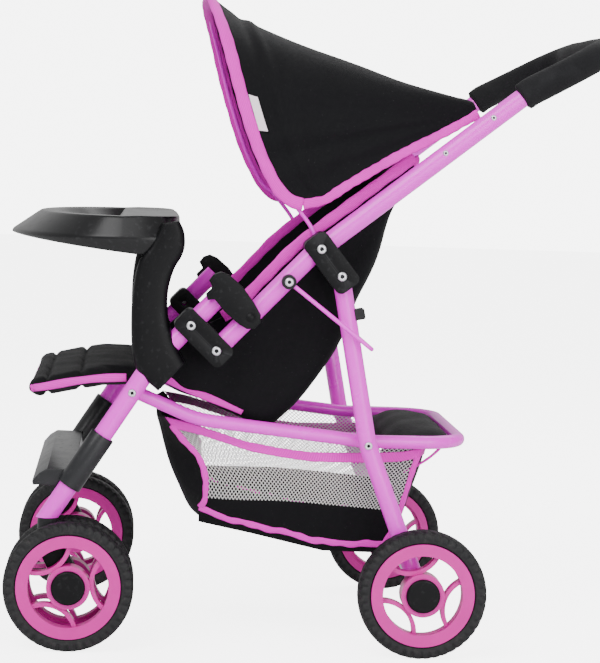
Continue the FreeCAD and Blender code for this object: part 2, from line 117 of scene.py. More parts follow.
def curve(knots: Sequence[Sequence[float]], count: int) -> np.ndarray:
    """Smooth curve through knots.

    Catmull-Rom: each span is the cubic that meets its two knots, with slopes of
    half the chord between the neighbours; then points are spread evenly.

    Args:
        knots: points of any dimension.
        count: number of points wanted.

    Returns:
        An array of count points.
    """
    p = np.asarray(knots, float)
    pad = np.vstack([2 * p[0] - p[1], p, 2 * p[-1] - p[-2]])
    t = np.linspace(0, len(p) - 1, 12 * len(p))
    i = np.minimum(t.astype(int), len(p) - 2)
    f = (t - i)[:, None]
    a, b, c, d = pad[i], pad[i + 1], pad[i + 2], pad[i + 3]
    cubic = 2 * b + (c - a) * f + (2 * a - 5 * b + 4 * c - d) * f**2
    cubic += (3 * b - a - 3 * c + d) * f**3
    return even(0.5 * cubic, count)


def route(corners: Sequence[Sequence[float]], radii: Sequence[float], count: int) -> np.ndarray:
    """Straight runs joined by tangent arcs.

    An arc's point is its centre plus radius times (cos a * inward + sin a * travel).

    Args:
        corners: the route's corner points.
        radii: one radius for each inner corner.
        count: number of points wanted.

    Returns:
        An array of count points, evenly spread.
    """
    p = np.asarray(corners, float)
    runs = [p[:1]]
    for corner, before, after, radius in zip(p[1:-1], p[:-2], p[2:], radii):
        back, ahead = unit(before - corner), unit(after - corner)
        half = math.acos(float(np.clip(back @ ahead, -1, 1))) / 2
        start = corner + back * radius / math.tan(half)
        centre = corner + unit(back + ahead) * radius / math.sin(half)
        a = np.linspace(0, math.pi - 2 * half, 24)[:, None]
        runs.append(centre + radius * (np.cos(a) * unit(start - centre) - np.sin(a) * back))
    runs.append(p[-1:])
    return even(np.vstack(runs), count)


def oval(half_width: float, half_height: float, power: float, count: int) -> np.ndarray:
    """Closed superellipse section: each half axis times cos or sin to the power 2/power."""
    a = np.linspace(0, 2 * math.pi, count + 1)
    c, s = np.cos(a), np.sin(a)
    x = half_width * np.sign(c) * np.abs(c) ** (2 / power)
    y = half_height * np.sign(s) * np.abs(s) ** (2 / power)
    return np.stack([x, y], 1)


def swept(line: np.ndarray, section: np.ndarray, normal: np.ndarray) -> np.ndarray:
    """Carries a section along a line.

    A point is the line's point plus the section's first number times the side
    direction (tangent x normal) plus its second times the up direction (side x tangent).

    Args:
        line: (N, 3) centre line.
        section: (S, 2), or (N, S, 2) where it changes along the line.
        normal: (3,) or (N, 3), roughly the section's up direction.

    Returns:
        An (N, S, 3) grid.
    """
    tangent = unit(np.gradient(line, axis=0))
    side = unit(np.cross(tangent, np.broadcast_to(normal, line.shape)))
    up = np.cross(side, tangent)
    return line[:, None] + section[..., 0:1] * side[:, None] + section[..., 1:2] * up[:, None]


def capped(grid: np.ndarray) -> np.ndarray:
    """Closes a tube's ends: each end ring is followed by a ring at its middle."""
    first = np.broadcast_to(grid[:1, :-1].mean(1, keepdims=True), grid[:1].shape)
    last = np.broadcast_to(grid[-1:, :-1].mean(1, keepdims=True), grid[:1].shape)
    return np.concatenate([first, grid, last])


def ribbon(line: np.ndarray, sideways: object, upwards: object, normal: np.ndarray,
           power: float = 2.6, count: int = 20) -> np.ndarray:
    """Closed strip along a line, with a superellipse section.

    Args:
        line: (N, 3) centre line.
        sideways, upwards: the section's half sizes, one number or one for each point.
        normal: (3,) or (N, 3), roughly the section's up direction.
        power: the superellipse's power; 2 is an ellipse.
        count: points round the section.

    Returns:
        A closed grid.
    """
    sizes = np.stack(np.broadcast_arrays(sideways, upwards, line[:, 0])[:2], 1)
    return capped(swept(line, sizes[:, None] * oval(1.0, 1.0, power, count)[None], normal))


def corner_arc(start: np.ndarray, corner: np.ndarray, end: np.ndarray, count: int) -> np.ndarray:
    """Quadratic arc: (1 - s)^2 start + 2 s (1 - s) corner + s^2 end, with s from 0 to 1."""
    s = np.linspace(0, 1, count)[:, None]
    return (1 - s) ** 2 * start + 2 * s * (1 - s) * corner + s**2 * end


def lengths(line: np.ndarray) -> np.ndarray:
    """The way along a polyline to each of its points."""
    return np.concatenate([[0.0], np.cumsum(np.linalg.norm(np.diff(line, axis=0), axis=1))])


def coons(top: np.ndarray, bottom: np.ndarray, front: np.ndarray, rear: np.ndarray) -> np.ndarray:
    """Surface between four edge curves that share corners.

    Coons patch: the blend of front and rear, plus the blend of top and bottom,
    less the flat blend of the four corners.

    Args:
        top, bottom: (C, D) edges from front to rear.
        front, rear: (R, D) edges from top to bottom.

    Returns:
        An (R, C, D) grid.
    """
    v = np.linspace(0, 1, len(front))[:, None, None]
    a = np.linspace(0, 1, len(top))[None, :, None]
    across = (1 - a) * front[:, None] + a * rear[:, None]
    down = (1 - v) * top[None] + v * bottom[None]
    high, low = (1 - a) * top[0] + a * top[-1], (1 - a) * bottom[0] + a * bottom[-1]
    return across + down - ((1 - v) * high + v * low)


def pick(grid: np.ndarray, rows: np.ndarray, cols: np.ndarray) -> np.ndarray:
    """Reads a grid at fractional rows and columns (0 to 1) by bilinear blending."""
    r = np.clip(rows, 0, 1) * (grid.shape[0] - 1)
    c = np.clip(cols, 0, 1) * (grid.shape[1] - 1)
    i = np.minimum(r.astype(int), grid.shape[0] - 2)
    j = np.minimum(c.astype(int), grid.shape[1] - 2)
    fr, fc = (r - i)[..., None], (c - j)[..., None]
    low = (1 - fc) * grid[i, j] + fc * grid[i, j + 1]
    high = (1 - fc) * grid[i + 1, j] + fc * grid[i + 1, j + 1]
    return (1 - fr) * low + fr * high


def facing(grid: np.ndarray) -> np.ndarray:
    """Unit normals of a grid: the cross product of its two slopes."""
    return unit(np.cross(np.gradient(grid, axis=0), np.gradient(grid, axis=1)))


def grid_uv(grid: np.ndarray) -> np.ndarray:
    """Lengths along a grid's rows and columns, in metres, as its UV map."""
    rows = np.linalg.norm(np.diff(grid, axis=0), axis=2).max(1)
    cols = np.linalg.norm(np.diff(grid, axis=1), axis=2).max(0)
    u = np.concatenate([[0.0], np.cumsum(cols)]) * MM
    v = np.concatenate([[0.0], np.cumsum(rows)]) * MM
    return np.stack(np.meshgrid(u, v), 2)


def grid_object(name: str, grids: Sequence[np.ndarray], closed: bool,
                keep: np.ndarray | None = None) -> bpy.types.Object:
    """One mesh from grids of quads, with a UV map in metres.

    Args:
        name: the piece's name.
        grids: (R, C, 3) grids in millimetres from the front axle.
        closed: whether the grids close up, so that faces are turned outwards.
        keep: (R-1, C-1) mask of the faces to keep, the same for every grid.

    Returns:
        The object, at the origin, with its place in its mesh.
    """
    points, uvs, quads, first = [], [], [], 0
    for grid in grids:
        rows, cols = grid.shape[:2]
        index = np.arange(rows * cols).reshape(rows, cols) + first
        faces = np.stack([index[:-1, :-1], index[:-1, 1:], index[1:, 1:], index[1:, :-1]], 2)
        quads.append(faces.reshape(-1, 4) if keep is None else faces[keep])
        points.append(place(grid).reshape(-1, 3))
        uvs.append(grid_uv(grid).reshape(-1, 2))
        first += rows * cols
    point, uv, quad = np.vstack(points), np.vstack(uvs), np.vstack(quads)
    mesh = bpy.data.meshes.new(name)
    mesh.vertices.add(len(point))
    mesh.vertices.foreach_set("co", point.astype(np.float32).ravel())
    mesh.loops.add(quad.size)
    mesh.loops.foreach_set("vertex_index", quad.astype(np.int32).ravel())
    mesh.polygons.add(len(quad))
    mesh.polygons.foreach_set("loop_start", np.arange(0, quad.size, 4, dtype=np.int32))
    mesh.polygons.foreach_set("use_smooth", np.ones(len(quad), bool))
    layer = mesh.uv_layers.new(name="cloth")
    mesh.update(calc_edges=True)
    layer.data.foreach_set("uv", uv[quad.ravel()].astype(np.float32).ravel())
    work = bmesh.new()
    work.from_mesh(mesh)
    bmesh.ops.remove_doubles(work, verts=work.verts, dist=1e-6)
    loose = [v for v in work.verts if not v.link_faces]
    bmesh.ops.delete(work, geom=loose, context="VERTS")
    if closed:
        bmesh.ops.recalc_face_normals(work, faces=work.faces)
    work.to_mesh(mesh)
    work.free()
    piece = bpy.data.objects.new(name, mesh)
    bpy.context.scene.collection.objects.link(piece)
    return piece


def modify(piece: bpy.types.Object, kind: str, **settings: object) -> bpy.types.Modifier:
    """Adds a modifier with its settings."""
    modifier = piece.modifiers.new(kind.lower(), kind)
    for key, value in settings.items():
        setattr(modifier, key, value)
    return modifier


def bake_modifiers(piece: bpy.types.Object) -> None:
    """Replaces a piece's mesh with what its modifiers make of it."""
    graph = bpy.context.evaluated_depsgraph_get()
    made = bpy.data.meshes.new_from_object(piece.evaluated_get(graph))
    piece.modifiers.clear()
    piece.data = made


def thick_sheet(name: str, grid: np.ndarray, thickness: float,
                keep: np.ndarray | None = None) -> bpy.types.Object:
    """A sheet of cloth with the grid in its middle.

    Args:
        name: the piece's name.
        grid: (R, C, 3) grid in millimetres from the front axle.
        thickness: the cloth's thickness in millimetres.
        keep: mask of the faces to keep.

    Returns:
        The object.
    """
    sheet = grid_object(name, [grid], closed=False, keep=keep)
    modify(sheet, "SOLIDIFY", thickness=thickness * MM, offset=0.0)
    bake_modifiers(sheet)
    return sheet


def read_points(mesh: bpy.types.Mesh) -> np.ndarray:
    """A mesh's points, (N, 3), in metres."""
    points = np.zeros(len(mesh.vertices) * 3, np.float32)
    mesh.vertices.foreach_get("co", points)
    return points.reshape(-1, 3)


def write_points(mesh: bpy.types.Mesh, points: np.ndarray) -> None:
    """Moves a mesh's points."""
    mesh.vertices.foreach_set("co", points.ravel())
    mesh.update()


# --------------------------------------------------------------- shader maths
class Wire:
    """A node's output that takes part in sums like a number."""

    def __init__(self, shader: "Shader", socket: bpy.types.NodeSocket) -> None:
        """Keeps the socket and the shader that it belongs to."""
        self.shader = shader
        self.socket = socket

    def maths(self, operation: str, first: object, second: object) -> "Wire":
        """Adds one Math node."""
        return self.shader.node("ShaderNodeMath", {"operation": operation}, {0: first, 1: second})

    def __add__(self, other: object) -> "Wire":
        """Sum."""
        return self.maths("ADD", self, other)

    def __sub__(self, other: object) -> "Wire":
        """Difference."""
        return self.maths("SUBTRACT", self, other)

    def __rsub__(self, other: object) -> "Wire":
        """Difference from a number."""
        return self.maths("SUBTRACT", other, self)

    def __mul__(self, other: object) -> "Wire":
        """Product."""
        return self.maths("MULTIPLY", self, other)

    __radd__ = __add__
    __rmul__ = __mul__


class Shader:
    """A material's node tree with one Principled shader."""

    def __init__(self, name: str) -> None:
        """Starts an empty material."""
        self.material = bpy.data.materials.new(name)
        self.material.use_nodes = True
        self.tree = self.material.node_tree
        self.tree.nodes.clear()

    def node(self, kind: str, settings: dict | None = None, sockets: dict | None = None,
             out: int | str = 0) -> Wire:
        """Adds a node.

        Args:
            kind: the node's type.
            settings: its properties, set first; "stops" gives a ramp's positions and colours.
            sockets: values or wires for its inputs, by number, name or identifier.
            out: the output wanted.

        Returns:
            That output.
        """
        made = self.tree.nodes.new(kind)
        for key, value in (settings or {}).items():
            if key == "stops":
                ramp = made.color_ramp
                for stop, (spot, shade) in zip([ramp.elements[0], ramp.elements[1]], value[:2]):
                    stop.position, stop.color = spot, shade
                for spot, shade in value[2:]:
                    ramp.elements.new(spot).color = shade
            else:
                setattr(made, key, value)
        for key, value in (sockets or {}).items():
            by_id = {s.identifier: s for s in made.inputs}
            socket = by_id[key] if key in by_id else made.inputs[key]
            if isinstance(value, Wire):
                self.tree.links.new(value.socket, socket)
            else:
                socket.default_value = value
        outs = {s.identifier: s for s in made.outputs}
        return Wire(self, outs[out] if out in outs else made.outputs[out])

    def spot(self, cloth: bool = False) -> Wire:
        """Coordinates: the object's own, or a cloth's UV map, both in metres."""
        if cloth:
            return self.node("ShaderNodeUVMap", {"uv_map": "cloth"})
        return self.node("ShaderNodeTexCoord", out="Object")

    def noise(self, where: Wire, size: float, detail: float = 3.0) -> Wire:
        """Noise whose features are about size metres across, 0 to 1."""
        sockets = {"Vector": where, "Scale": 1 / size, "Detail": detail}
        return self.node("ShaderNodeTexNoise", None, sockets, "Fac")

    def rescale(self, value: Wire, low: float, high: float) -> Wire:
        """Maps low..high to 0..1 and clips."""
        return self.node("ShaderNodeMapRange", {"clamp": True},
                         {"Value": value, "From Min": low, "From Max": high})

    def mix(self, share: Wire | float, first: object, second: object) -> Wire:
        """Blends two colours."""
        sockets = {"Factor_Float": share, "A_Color": first, "B_Color": second}
        return self.node("ShaderNodeMix", {"data_type": "RGBA"}, sockets, "Result_Color")

    def sine(self, angle: Wire) -> Wire:
        """Sine of an angle in radians."""
        return angle.maths("SINE", angle, 0.0)

    def relief(self, height: Wire, depth: float, below: Wire | None = None) -> Wire:
        """Bump from a height of 0 to 1 and a depth in metres."""
        sockets = {"Height": height, "Distance": depth, "Strength": 1.0}
        if below is not None:
            sockets["Normal"] = below
        return self.node("ShaderNodeBump", None, sockets)

    def finish(self, **sockets: object) -> bpy.types.Material:
        """Adds the Principled shader and the output.

        Args:
            sockets: the shader's inputs, with _ for a space in a name.

        Returns:
            The finished material.
        """
        named = {key.replace("_", " "): value for key, value in sockets.items()}
        shader = self.node("ShaderNodeBsdfPrincipled", None, named)
        out = self.tree.nodes.new("ShaderNodeOutputMaterial")
        self.tree.links.new(shader.socket, out.inputs["Surface"])
        return self.material


# ------------------------------------------------------------------- finishes
def linear(red: int, green: int, blue: int) -> tuple[float, float, float, float]:
    """Turns a display colour of 0 to 255 into the shader's linear colour."""
    share = np.array([red, green, blue]) / 255
    straight = np.where(share <= 0.04045, share / 12.92, ((share + 0.055) / 1.055) ** 2.4)
    return (*[float(x) for x in straight], 1.0)


def shade(colour: tuple[float, ...], amount: float) -> tuple[float, float, float, float]:
    """A colour made darker (below 1) or lighter (above 1)."""
    return (*[min(1.0, c * amount) for c in colour[:3]], 1.0)


@dataclass(frozen=True)
class Painted:
    """Gloss paint on steel tube: slight orange peel, faint rubbed streaks."""
    name: str = "gloss_pink_paint"
    colour: tuple[float, ...] = (0.82, 0.010, 0.70, 1.0)
    peel: float = 0.0016
    depth: float = 0.000025

    def build(self) -> bpy.types.Material:
        """Makes the material."""
        s = Shader(self.name)
        where = s.spot()
        cloud = s.noise(where, 0.03)
        rub = s.rescale(s.noise(where, 0.006, 5.0), 0.56, 0.74)
        colour = s.mix(cloud * 0.5, self.colour, shade(self.colour, 0.82))
        colour = s.mix(rub * 0.05, colour, linear(255, 190, 240))
        rough = 0.24 + cloud * 0.10 + rub * 0.12
        normal = s.relief(s.noise(where, self.peel, 1.0), self.depth)
        return s.finish(Base_Color=colour, Roughness=rough, Normal=normal, Coat_Weight=0.2,
                        Coat_Roughness=0.12, Specular_IOR_Level=0.35)


@dataclass(frozen=True)
class Moulded:
    """Moulded plastic: fine spark grain, slow flow marks, paler rubbed edges."""
    name: str
    colour: tuple[float, ...]
    roughness: float = 0.42
    grain: float = 0.0007
    depth: float = 0.00005
    wear: float = 0.05
    coat: float = 0.0
    specular: float = 0.3

    def build(self) -> bpy.types.Material:
        """Makes the material."""
        s = Shader(self.name)
        where = s.spot()
        flow = s.noise(where, 0.022, 2.0)
        scuff = s.rescale(s.noise(where, 0.0045, 6.0), 0.58, 0.72)
        edge = s.rescale(s.node("ShaderNodeNewGeometry", out="Pointiness"), 0.53, 0.66)
        colour = s.mix(flow * 0.6, self.colour, shade(self.colour, 0.72))
        colour = s.mix((edge * 0.6 + scuff * 0.35) * self.wear, colour, linear(190, 190, 195))
        rough = self.roughness - 0.05 + flow * 0.12 + scuff * 0.10
        grain = s.noise(where, self.grain, 2.0)
        return s.finish(Base_Color=colour, Roughness=rough, Normal=s.relief(grain, self.depth),
                        Coat_Weight=self.coat, Coat_Roughness=0.2,
                        Specular_IOR_Level=self.specular)


@dataclass(frozen=True)
class Woven:
    """Plain woven cloth: warp and weft ribs with painted shade in the hollows between them, slubs,
    soft rumples, a little dust.
    """
    name: str
    colour: tuple[float, ...]
    pitch: float = 0.0011
    depth: float = 0.00012
    rumple: float = 0.0006
    sheen: float = 0.04
    ribbed: bool = False
    specular: float = 0.12

    def build(self) -> bpy.types.Material:
        """Makes the material."""
        s = Shader(self.name)
        where = s.spot(cloth=True)
        body = s.spot()
        turn = 2 * math.pi / self.pitch
        split = s.node("ShaderNodeSeparateXYZ", None, {"Vector": where}, "X")
        rise = s.node("ShaderNodeSeparateXYZ", None, {"Vector": where}, "Y")
        warp, weft = s.sine(split * turn), s.sine(rise * turn)
        weave = warp * 0.5 + 0.5 if self.ribbed else warp * weft * 0.5 + 0.5
        slub = s.noise(body, 0.004, 4.0)
        patch = s.noise(body, 0.035, 3.0)
        # painted shade: the low parts of the weave, where the bump is lowest, are darker
        colour = s.mix(weave * 0.55, shade(self.colour, 0.62), self.colour)
        colour = s.mix(patch * 0.35, colour, shade(self.colour, 1.45))
        lint = s.rescale(s.noise(body, 0.0016, 2.0), 0.70, 0.80)
        colour = s.mix(lint * 0.05, colour, linear(200, 196, 200))
        rough = 0.66 + slub * 0.16 + weave * 0.06
        folds = s.relief(s.noise(body, 0.016, 2.0), self.rumple)
        normal = s.relief(weave * 0.8 + slub * 0.4, self.depth, folds)
        return s.finish(Base_Color=colour, Roughness=rough, Normal=normal,
                        Sheen_Weight=self.sheen, Sheen_Roughness=0.5,
                        Specular_IOR_Level=self.specular)


@dataclass(frozen=True)
class Foam:
    """Closed-cell grip foam: pitted skin, dull, worn smoother in patches."""
    name: str = "grip_foam"
    colour: tuple[float, ...] = linear(14, 14, 17)

    def build(self) -> bpy.types.Material:
        """Makes the material."""
        s = Shader(self.name)
        where = s.spot()
        cell = s.node("ShaderNodeTexVoronoi", None, {"Vector": where, "Scale": 900.0}, "Distance")
        skin = s.noise(where, 0.0028, 4.0)
        worn = s.rescale(s.noise(where, 0.028, 2.0), 0.45, 0.70)
        colour = s.mix(skin * 0.7, shade(self.colour, 0.65), self.colour)
        colour = s.mix(worn * 0.25, colour, shade(self.colour, 1.8))
        normal = s.relief(cell * 0.8 + skin * 0.6, 0.00022)
        return s.finish(Base_Color=colour, Roughness=0.86 - worn * 0.14, Normal=normal,
                        Specular_IOR_Level=0.25)


@dataclass(frozen=True)
class Rubber:
    """Tyre compound: matt black with a dusty bloom and scuffs on the tread."""
    name: str = "tyre_rubber"
    colour: tuple[float, ...] = linear(18, 18, 20)

    def build(self) -> bpy.types.Material:
        """Makes the material."""
        s = Shader(self.name)
        where = s.spot()
        bloom = s.noise(where, 0.012, 4.0)
        grit = s.noise(where, 0.0012, 3.0)
        dust = s.rescale(s.noise(where, 0.005, 5.0), 0.52, 0.74)
        colour = s.mix(bloom * 0.6, self.colour, shade(self.colour, 0.55))
        colour = s.mix(dust * 0.05, colour, linear(140, 136, 130))
        return s.finish(Base_Color=colour, Roughness=0.56 + bloom * 0.16 + dust * 0.1,
                        Normal=s.relief(grit, 0.00008), Specular_IOR_Level=0.3)


@dataclass(frozen=True)
class Metal:
    """Plated steel: bright, with fine scratches and a few dull spots."""
    name: str = "plated_steel"
    colour: tuple[float, ...] = linear(214, 214, 218)

    def build(self) -> bpy.types.Material:
        """Makes the material."""
        s = Shader(self.name)
        where = s.spot()
        scratch = s.noise(where, 0.0006, 6.0)
        dull = s.rescale(s.noise(where, 0.004, 4.0), 0.5, 0.75)
        colour = s.mix(dull * 0.4, self.colour, linear(150, 150, 156))
        return s.finish(Base_Color=colour, Roughness=0.22 + scratch * 0.2 + dull * 0.15,
                        Metallic=1.0, Normal=s.relief(scratch, 0.00002))


@dataclass(frozen=True)
class Plain:
    """Smooth pale surface of the floor, with a trace of cloudiness."""
    name: str = "studio_floor"
    colour: tuple[float, ...] = linear(250, 250, 251)
    glow: float = 4.7

    def build(self) -> bpy.types.Material:
        """Makes the material."""
        s = Shader(self.name)
        cloud = s.noise(s.spot(), 0.4)
        seen = s.node("ShaderNodeLightPath", out="Is Camera Ray")
        glow = s.mix(seen, (0.0, 0.0, 0.0, 1.0), (1.0, 1.0, 1.0, 1.0))
        return s.finish(Base_Color=s.mix(cloud * 0.5, self.colour, shade(self.colour, 0.98)),
                        Roughness=0.7, Emission_Color=glow, Emission_Strength=self.glow)


class Look(Enum):
    """The finishes of the stroller."""
    PAINT = Painted()
    RIM = Moulded("pink_moulded_plastic", (0.56, 0.004, 0.28, 1.0), 0.30, 0.0012, 0.00003, 0.03,
                  0.1, 0.25)
    BLACK = Moulded("black_moulded_plastic", linear(5, 5, 7), 0.42, specular=0.14)
    TRAY = Moulded("satin_tray_plastic", linear(8, 8, 10), 0.30, 0.0009, 0.00003, 0.05, 0.10, 0.22)
    FOOT = Moulded("grey_sheen_plastic", linear(18, 19, 22), 0.34, specular=0.35)
    CLOTH = Woven("black_woven_polyester", linear(8, 8, 11))
    BASE = Woven("black_basket_cloth", linear(6, 6, 9), 0.0014)
    TAPE = Woven("pink_binding_tape", (0.80, 0.010, 0.54, 1.0), 0.0016, 0.00016, 0.0003, 0.1, True)
    YARN = Woven("grey_net_yarn", linear(226, 224, 222), 0.0006, 0.00005, 0.0, 0.1, True)
    LABEL = Woven("blank_white_label", linear(246, 226, 238), 0.0008, 0.00006, 0.0001, 0.1, True)
    FOAM = Foam()
    RUBBER = Rubber()
    STEEL = Metal()
    FLOOR = Plain()


class Slot(Enum):
    """The record's material slots."""
    TUBE = "pink_tube"
    BLACK = "black_plastic"
    TRAY = "tray_plastic"
    CLOTH = "black_fabric"
    BASKET = "basket_fabric"
    FOAM = "foam"
    TYRE = "tyre"
    STEEL = "steel"


@cache
def material(look: Look) -> bpy.types.Material:
    """Makes a finish once and gives it to every piece that uses it."""
    return look.value.build()


def dress(node: str, look: Look) -> None:
    """Gives a CAD node that stays its finish."""
    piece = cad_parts[node]
    piece.data.materials.clear()
    piece.data.materials.append(material(look))
    log.info("%s: CAD node in %s", node, look.value.name)


def settle(piece: bpy.types.Object, look: Look, body: str,
           replaces: Sequence[str] = ()) -> bpy.types.Object:
    """Gives a new piece its finish, body and the CAD nodes that it stands for.

    Args:
        piece: the new piece.
        look: its finish.
        body: the CAD body that it rides on, or "" for none.
        replaces: CAD nodes that it stands for.

    Returns:
        The piece.
    """
    piece.data.materials.clear()
    piece.data.materials.append(material(look))
    if replaces:
        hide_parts(*replaces)
    if body:
        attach(piece, body)
    log.info("%s: %d faces, %s", piece.name, len(piece.data.polygons), look.value.name)
    return piece


def rounded_copy(node: str, name: str, radius: float, angle: float = 28.0) -> bpy.types.Object:
    """A merged copy of a CAD node whose sharp edges get a small radius.

    Args:
        node: the CAD node.
        name: the new piece's name.
        radius: the edges' radius, in millimetres.
        angle: edges that turn more than this many degrees are rounded.

    Returns:
        The new object.
    """
    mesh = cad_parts[node].data.copy()
    mesh.name = name
    work = bmesh.new()
    work.from_mesh(mesh)
    bmesh.ops.remove_doubles(work, verts=work.verts, dist=2e-6)
    bmesh.ops.dissolve_limit(work, angle_limit=math.radians(1.5), verts=work.verts,
                             edges=work.edges)
    limit = math.radians(angle)
    sharp = [e for e in work.edges if len(e.link_faces) == 2 and e.calc_face_angle() > limit]
    bmesh.ops.bevel(work, geom=sharp, offset=radius * MM, segments=3, profile=0.5,
                    affect="EDGES", clamp_overlap=True)
    bmesh.ops.triangulate(work, faces=work.faces)
    for face in work.faces:
        face.smooth = True
    work.to_mesh(mesh)
    work.free()
    mesh.set_sharp_from_angle(angle=math.radians(40))
    piece = bpy.data.objects.new(name, mesh)
    bpy.context.scene.collection.objects.link(piece)
    return piece


# --------------------------------------------------------------- sub-assemblies
@dataclass
class Wheels:
    """Six wheels, two pairs in front: lugged tyres built here, rims and caps from the frame."""
    rim_radius: float = 46.0
    lugs: int = 44
    lug_depth: float = 1.5
    groove_depth: float = 1.1
    shoulder: float = 3.0

    def names(self) -> list[str]:
        """The wheels' names."""
        spots = ("front_outer", "front_inner", "rear")
        return [f"{spot}_{side}" for side in SIDES for spot in spots]

    def tyre(self, name: str) -> bpy.types.Object:
        """One tyre.

        The section is a superellipse between the rim and the tread. The radius
        falls by the lug depth where a wave round the wheel is low, more towards
        the shoulders, and by two grooves near the middle.

        Args:
            name: the wheel's name.

        Returns:
            The tyre.
        """
        low, high = (np.array(corner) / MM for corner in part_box("tyre_" + name))
        centre, radius = (low + high) / 2, (high[2] - low[2]) / 2
        half_width, half_height = (high[0] - low[0]) / 2, (radius - self.rim_radius + 0.4) / 2
        section = oval(half_width, half_height, 3.4, 64)
        turn = np.linspace(0, 2 * math.pi, self.lugs * 8 + 1)[:, None]
        x = np.broadcast_to(section[:, 0], (len(turn), len(section)))
        r = section[:, 1] + radius - half_height
        edge = np.abs(section[:, 0]) / half_width
        wave = 0.5 - 0.5 * np.cos(self.lugs * turn + self.shoulder * edge * np.sign(section[:, 0]))
        gap = step(0.55, 0.8, wave)
        reach = step(0.35, 0.6, edge) * step(radius - 7.5, radius - 4.5, r)
        groove = bump(0.2, 0.06, edge) * step(radius - 3, radius - 1, r)
        r = r - self.lug_depth * gap * reach - self.groove_depth * groove
        wall = step(0.8, 0.97, edge) * step(self.rim_radius + 3, self.rim_radius + 5.5, r)
        x = x - np.sign(x) * 0.9 * gap * wall
        bead = bump(self.rim_radius + 3.0, 1.0, r) * step(0.85, 0.97, edge)
        x = x - np.sign(x) * 0.5 * bead
        grid = np.stack([x + centre[0], centre[1] - AXLE_Y + r * np.cos(turn),
                         centre[2] + r * np.sin(turn)], 2)
        return grid_object("tread_" + name, [grid], closed=True)

    def build(self) -> None:
        """Makes and dresses every wheel."""
        for name in self.names():
            settle(self.tyre(name), Look.RUBBER, "wheel_" + name, ["tyre_" + name])
            dress("rim_" + name, Look.RIM)
            dress("hub_cap_" + name, Look.BLACK)


@dataclass
class Rivets:
    """Domed rivets whose hollow holds a black disc as painted shade, over the frame's rivet
    groups.
    """
    radius: float = 4.3
    height: float = 2.0
    # radius and rise, as shares of the head's own, for the head and the black disc of painted
    # shade in its hollow
    head: tuple = ((0, -0.2), (0.55, -0.2), (0.98, -0.2), (1.0, 0.25), (0.93, 0.65), (0.72, 0.95),
                   (0.52, 1.0), (0.42, 0.9), (0.38, 0.45), (0.34, 0.2), (0, 0.2))
    core: tuple = ((0, 0.1), (0.36, 0.1), (0.36, 0.42), (0, 0.42))

    def turned(self, profile: tuple, x: float, spot: Sequence[float], side: float, size: float,
               count: int) -> np.ndarray:
        """A profile of radius against rise, turned round an axis along X.

        Args:
            profile: (radius, rise) shares.
            x: the plane that the head sits on.
            spot: its centre (y, z).
            side: 1 or -1, the way that it faces.
            size: scale of the head.
            count: points round the head.

        Returns:
            A closed grid.
        """
        share, rise = np.array(profile).T
        turn = np.linspace(0, 2 * math.pi, count)[:, None]
        r = self.radius * size * share
        return np.stack([np.broadcast_to(x + side * size * self.height * rise, (count, len(r))),
                         spot[0] + r * np.cos(turn), spot[1] + r * np.sin(turn)], 2)

    def group(self, name: str, body: str, spots: Sequence[tuple], node: str) -> None:
        """Heads on both sides of the stroller.

        Args:
            name: the piece's name.
            body: the body that they ride on.
            spots: (x, (y, z), size) on the left side.
            node: the CAD node that they stand for, or "" for none.
        """
        heads, hollow_shades = [[self.turned(profile, side * x, yz, side, size, count)
                         for side in SIDES.values() for x, yz, size in spots]
                        for profile, count in ((self.head, 25), (self.core, 17))]
        settle(grid_object(name, heads, closed=True), Look.STEEL, body,
               [node] if node else [])
        # black discs in the heads' hollows: painted shade
        settle(grid_object(name + "_cores", hollow_shades, closed=True), Look.BLACK, body)


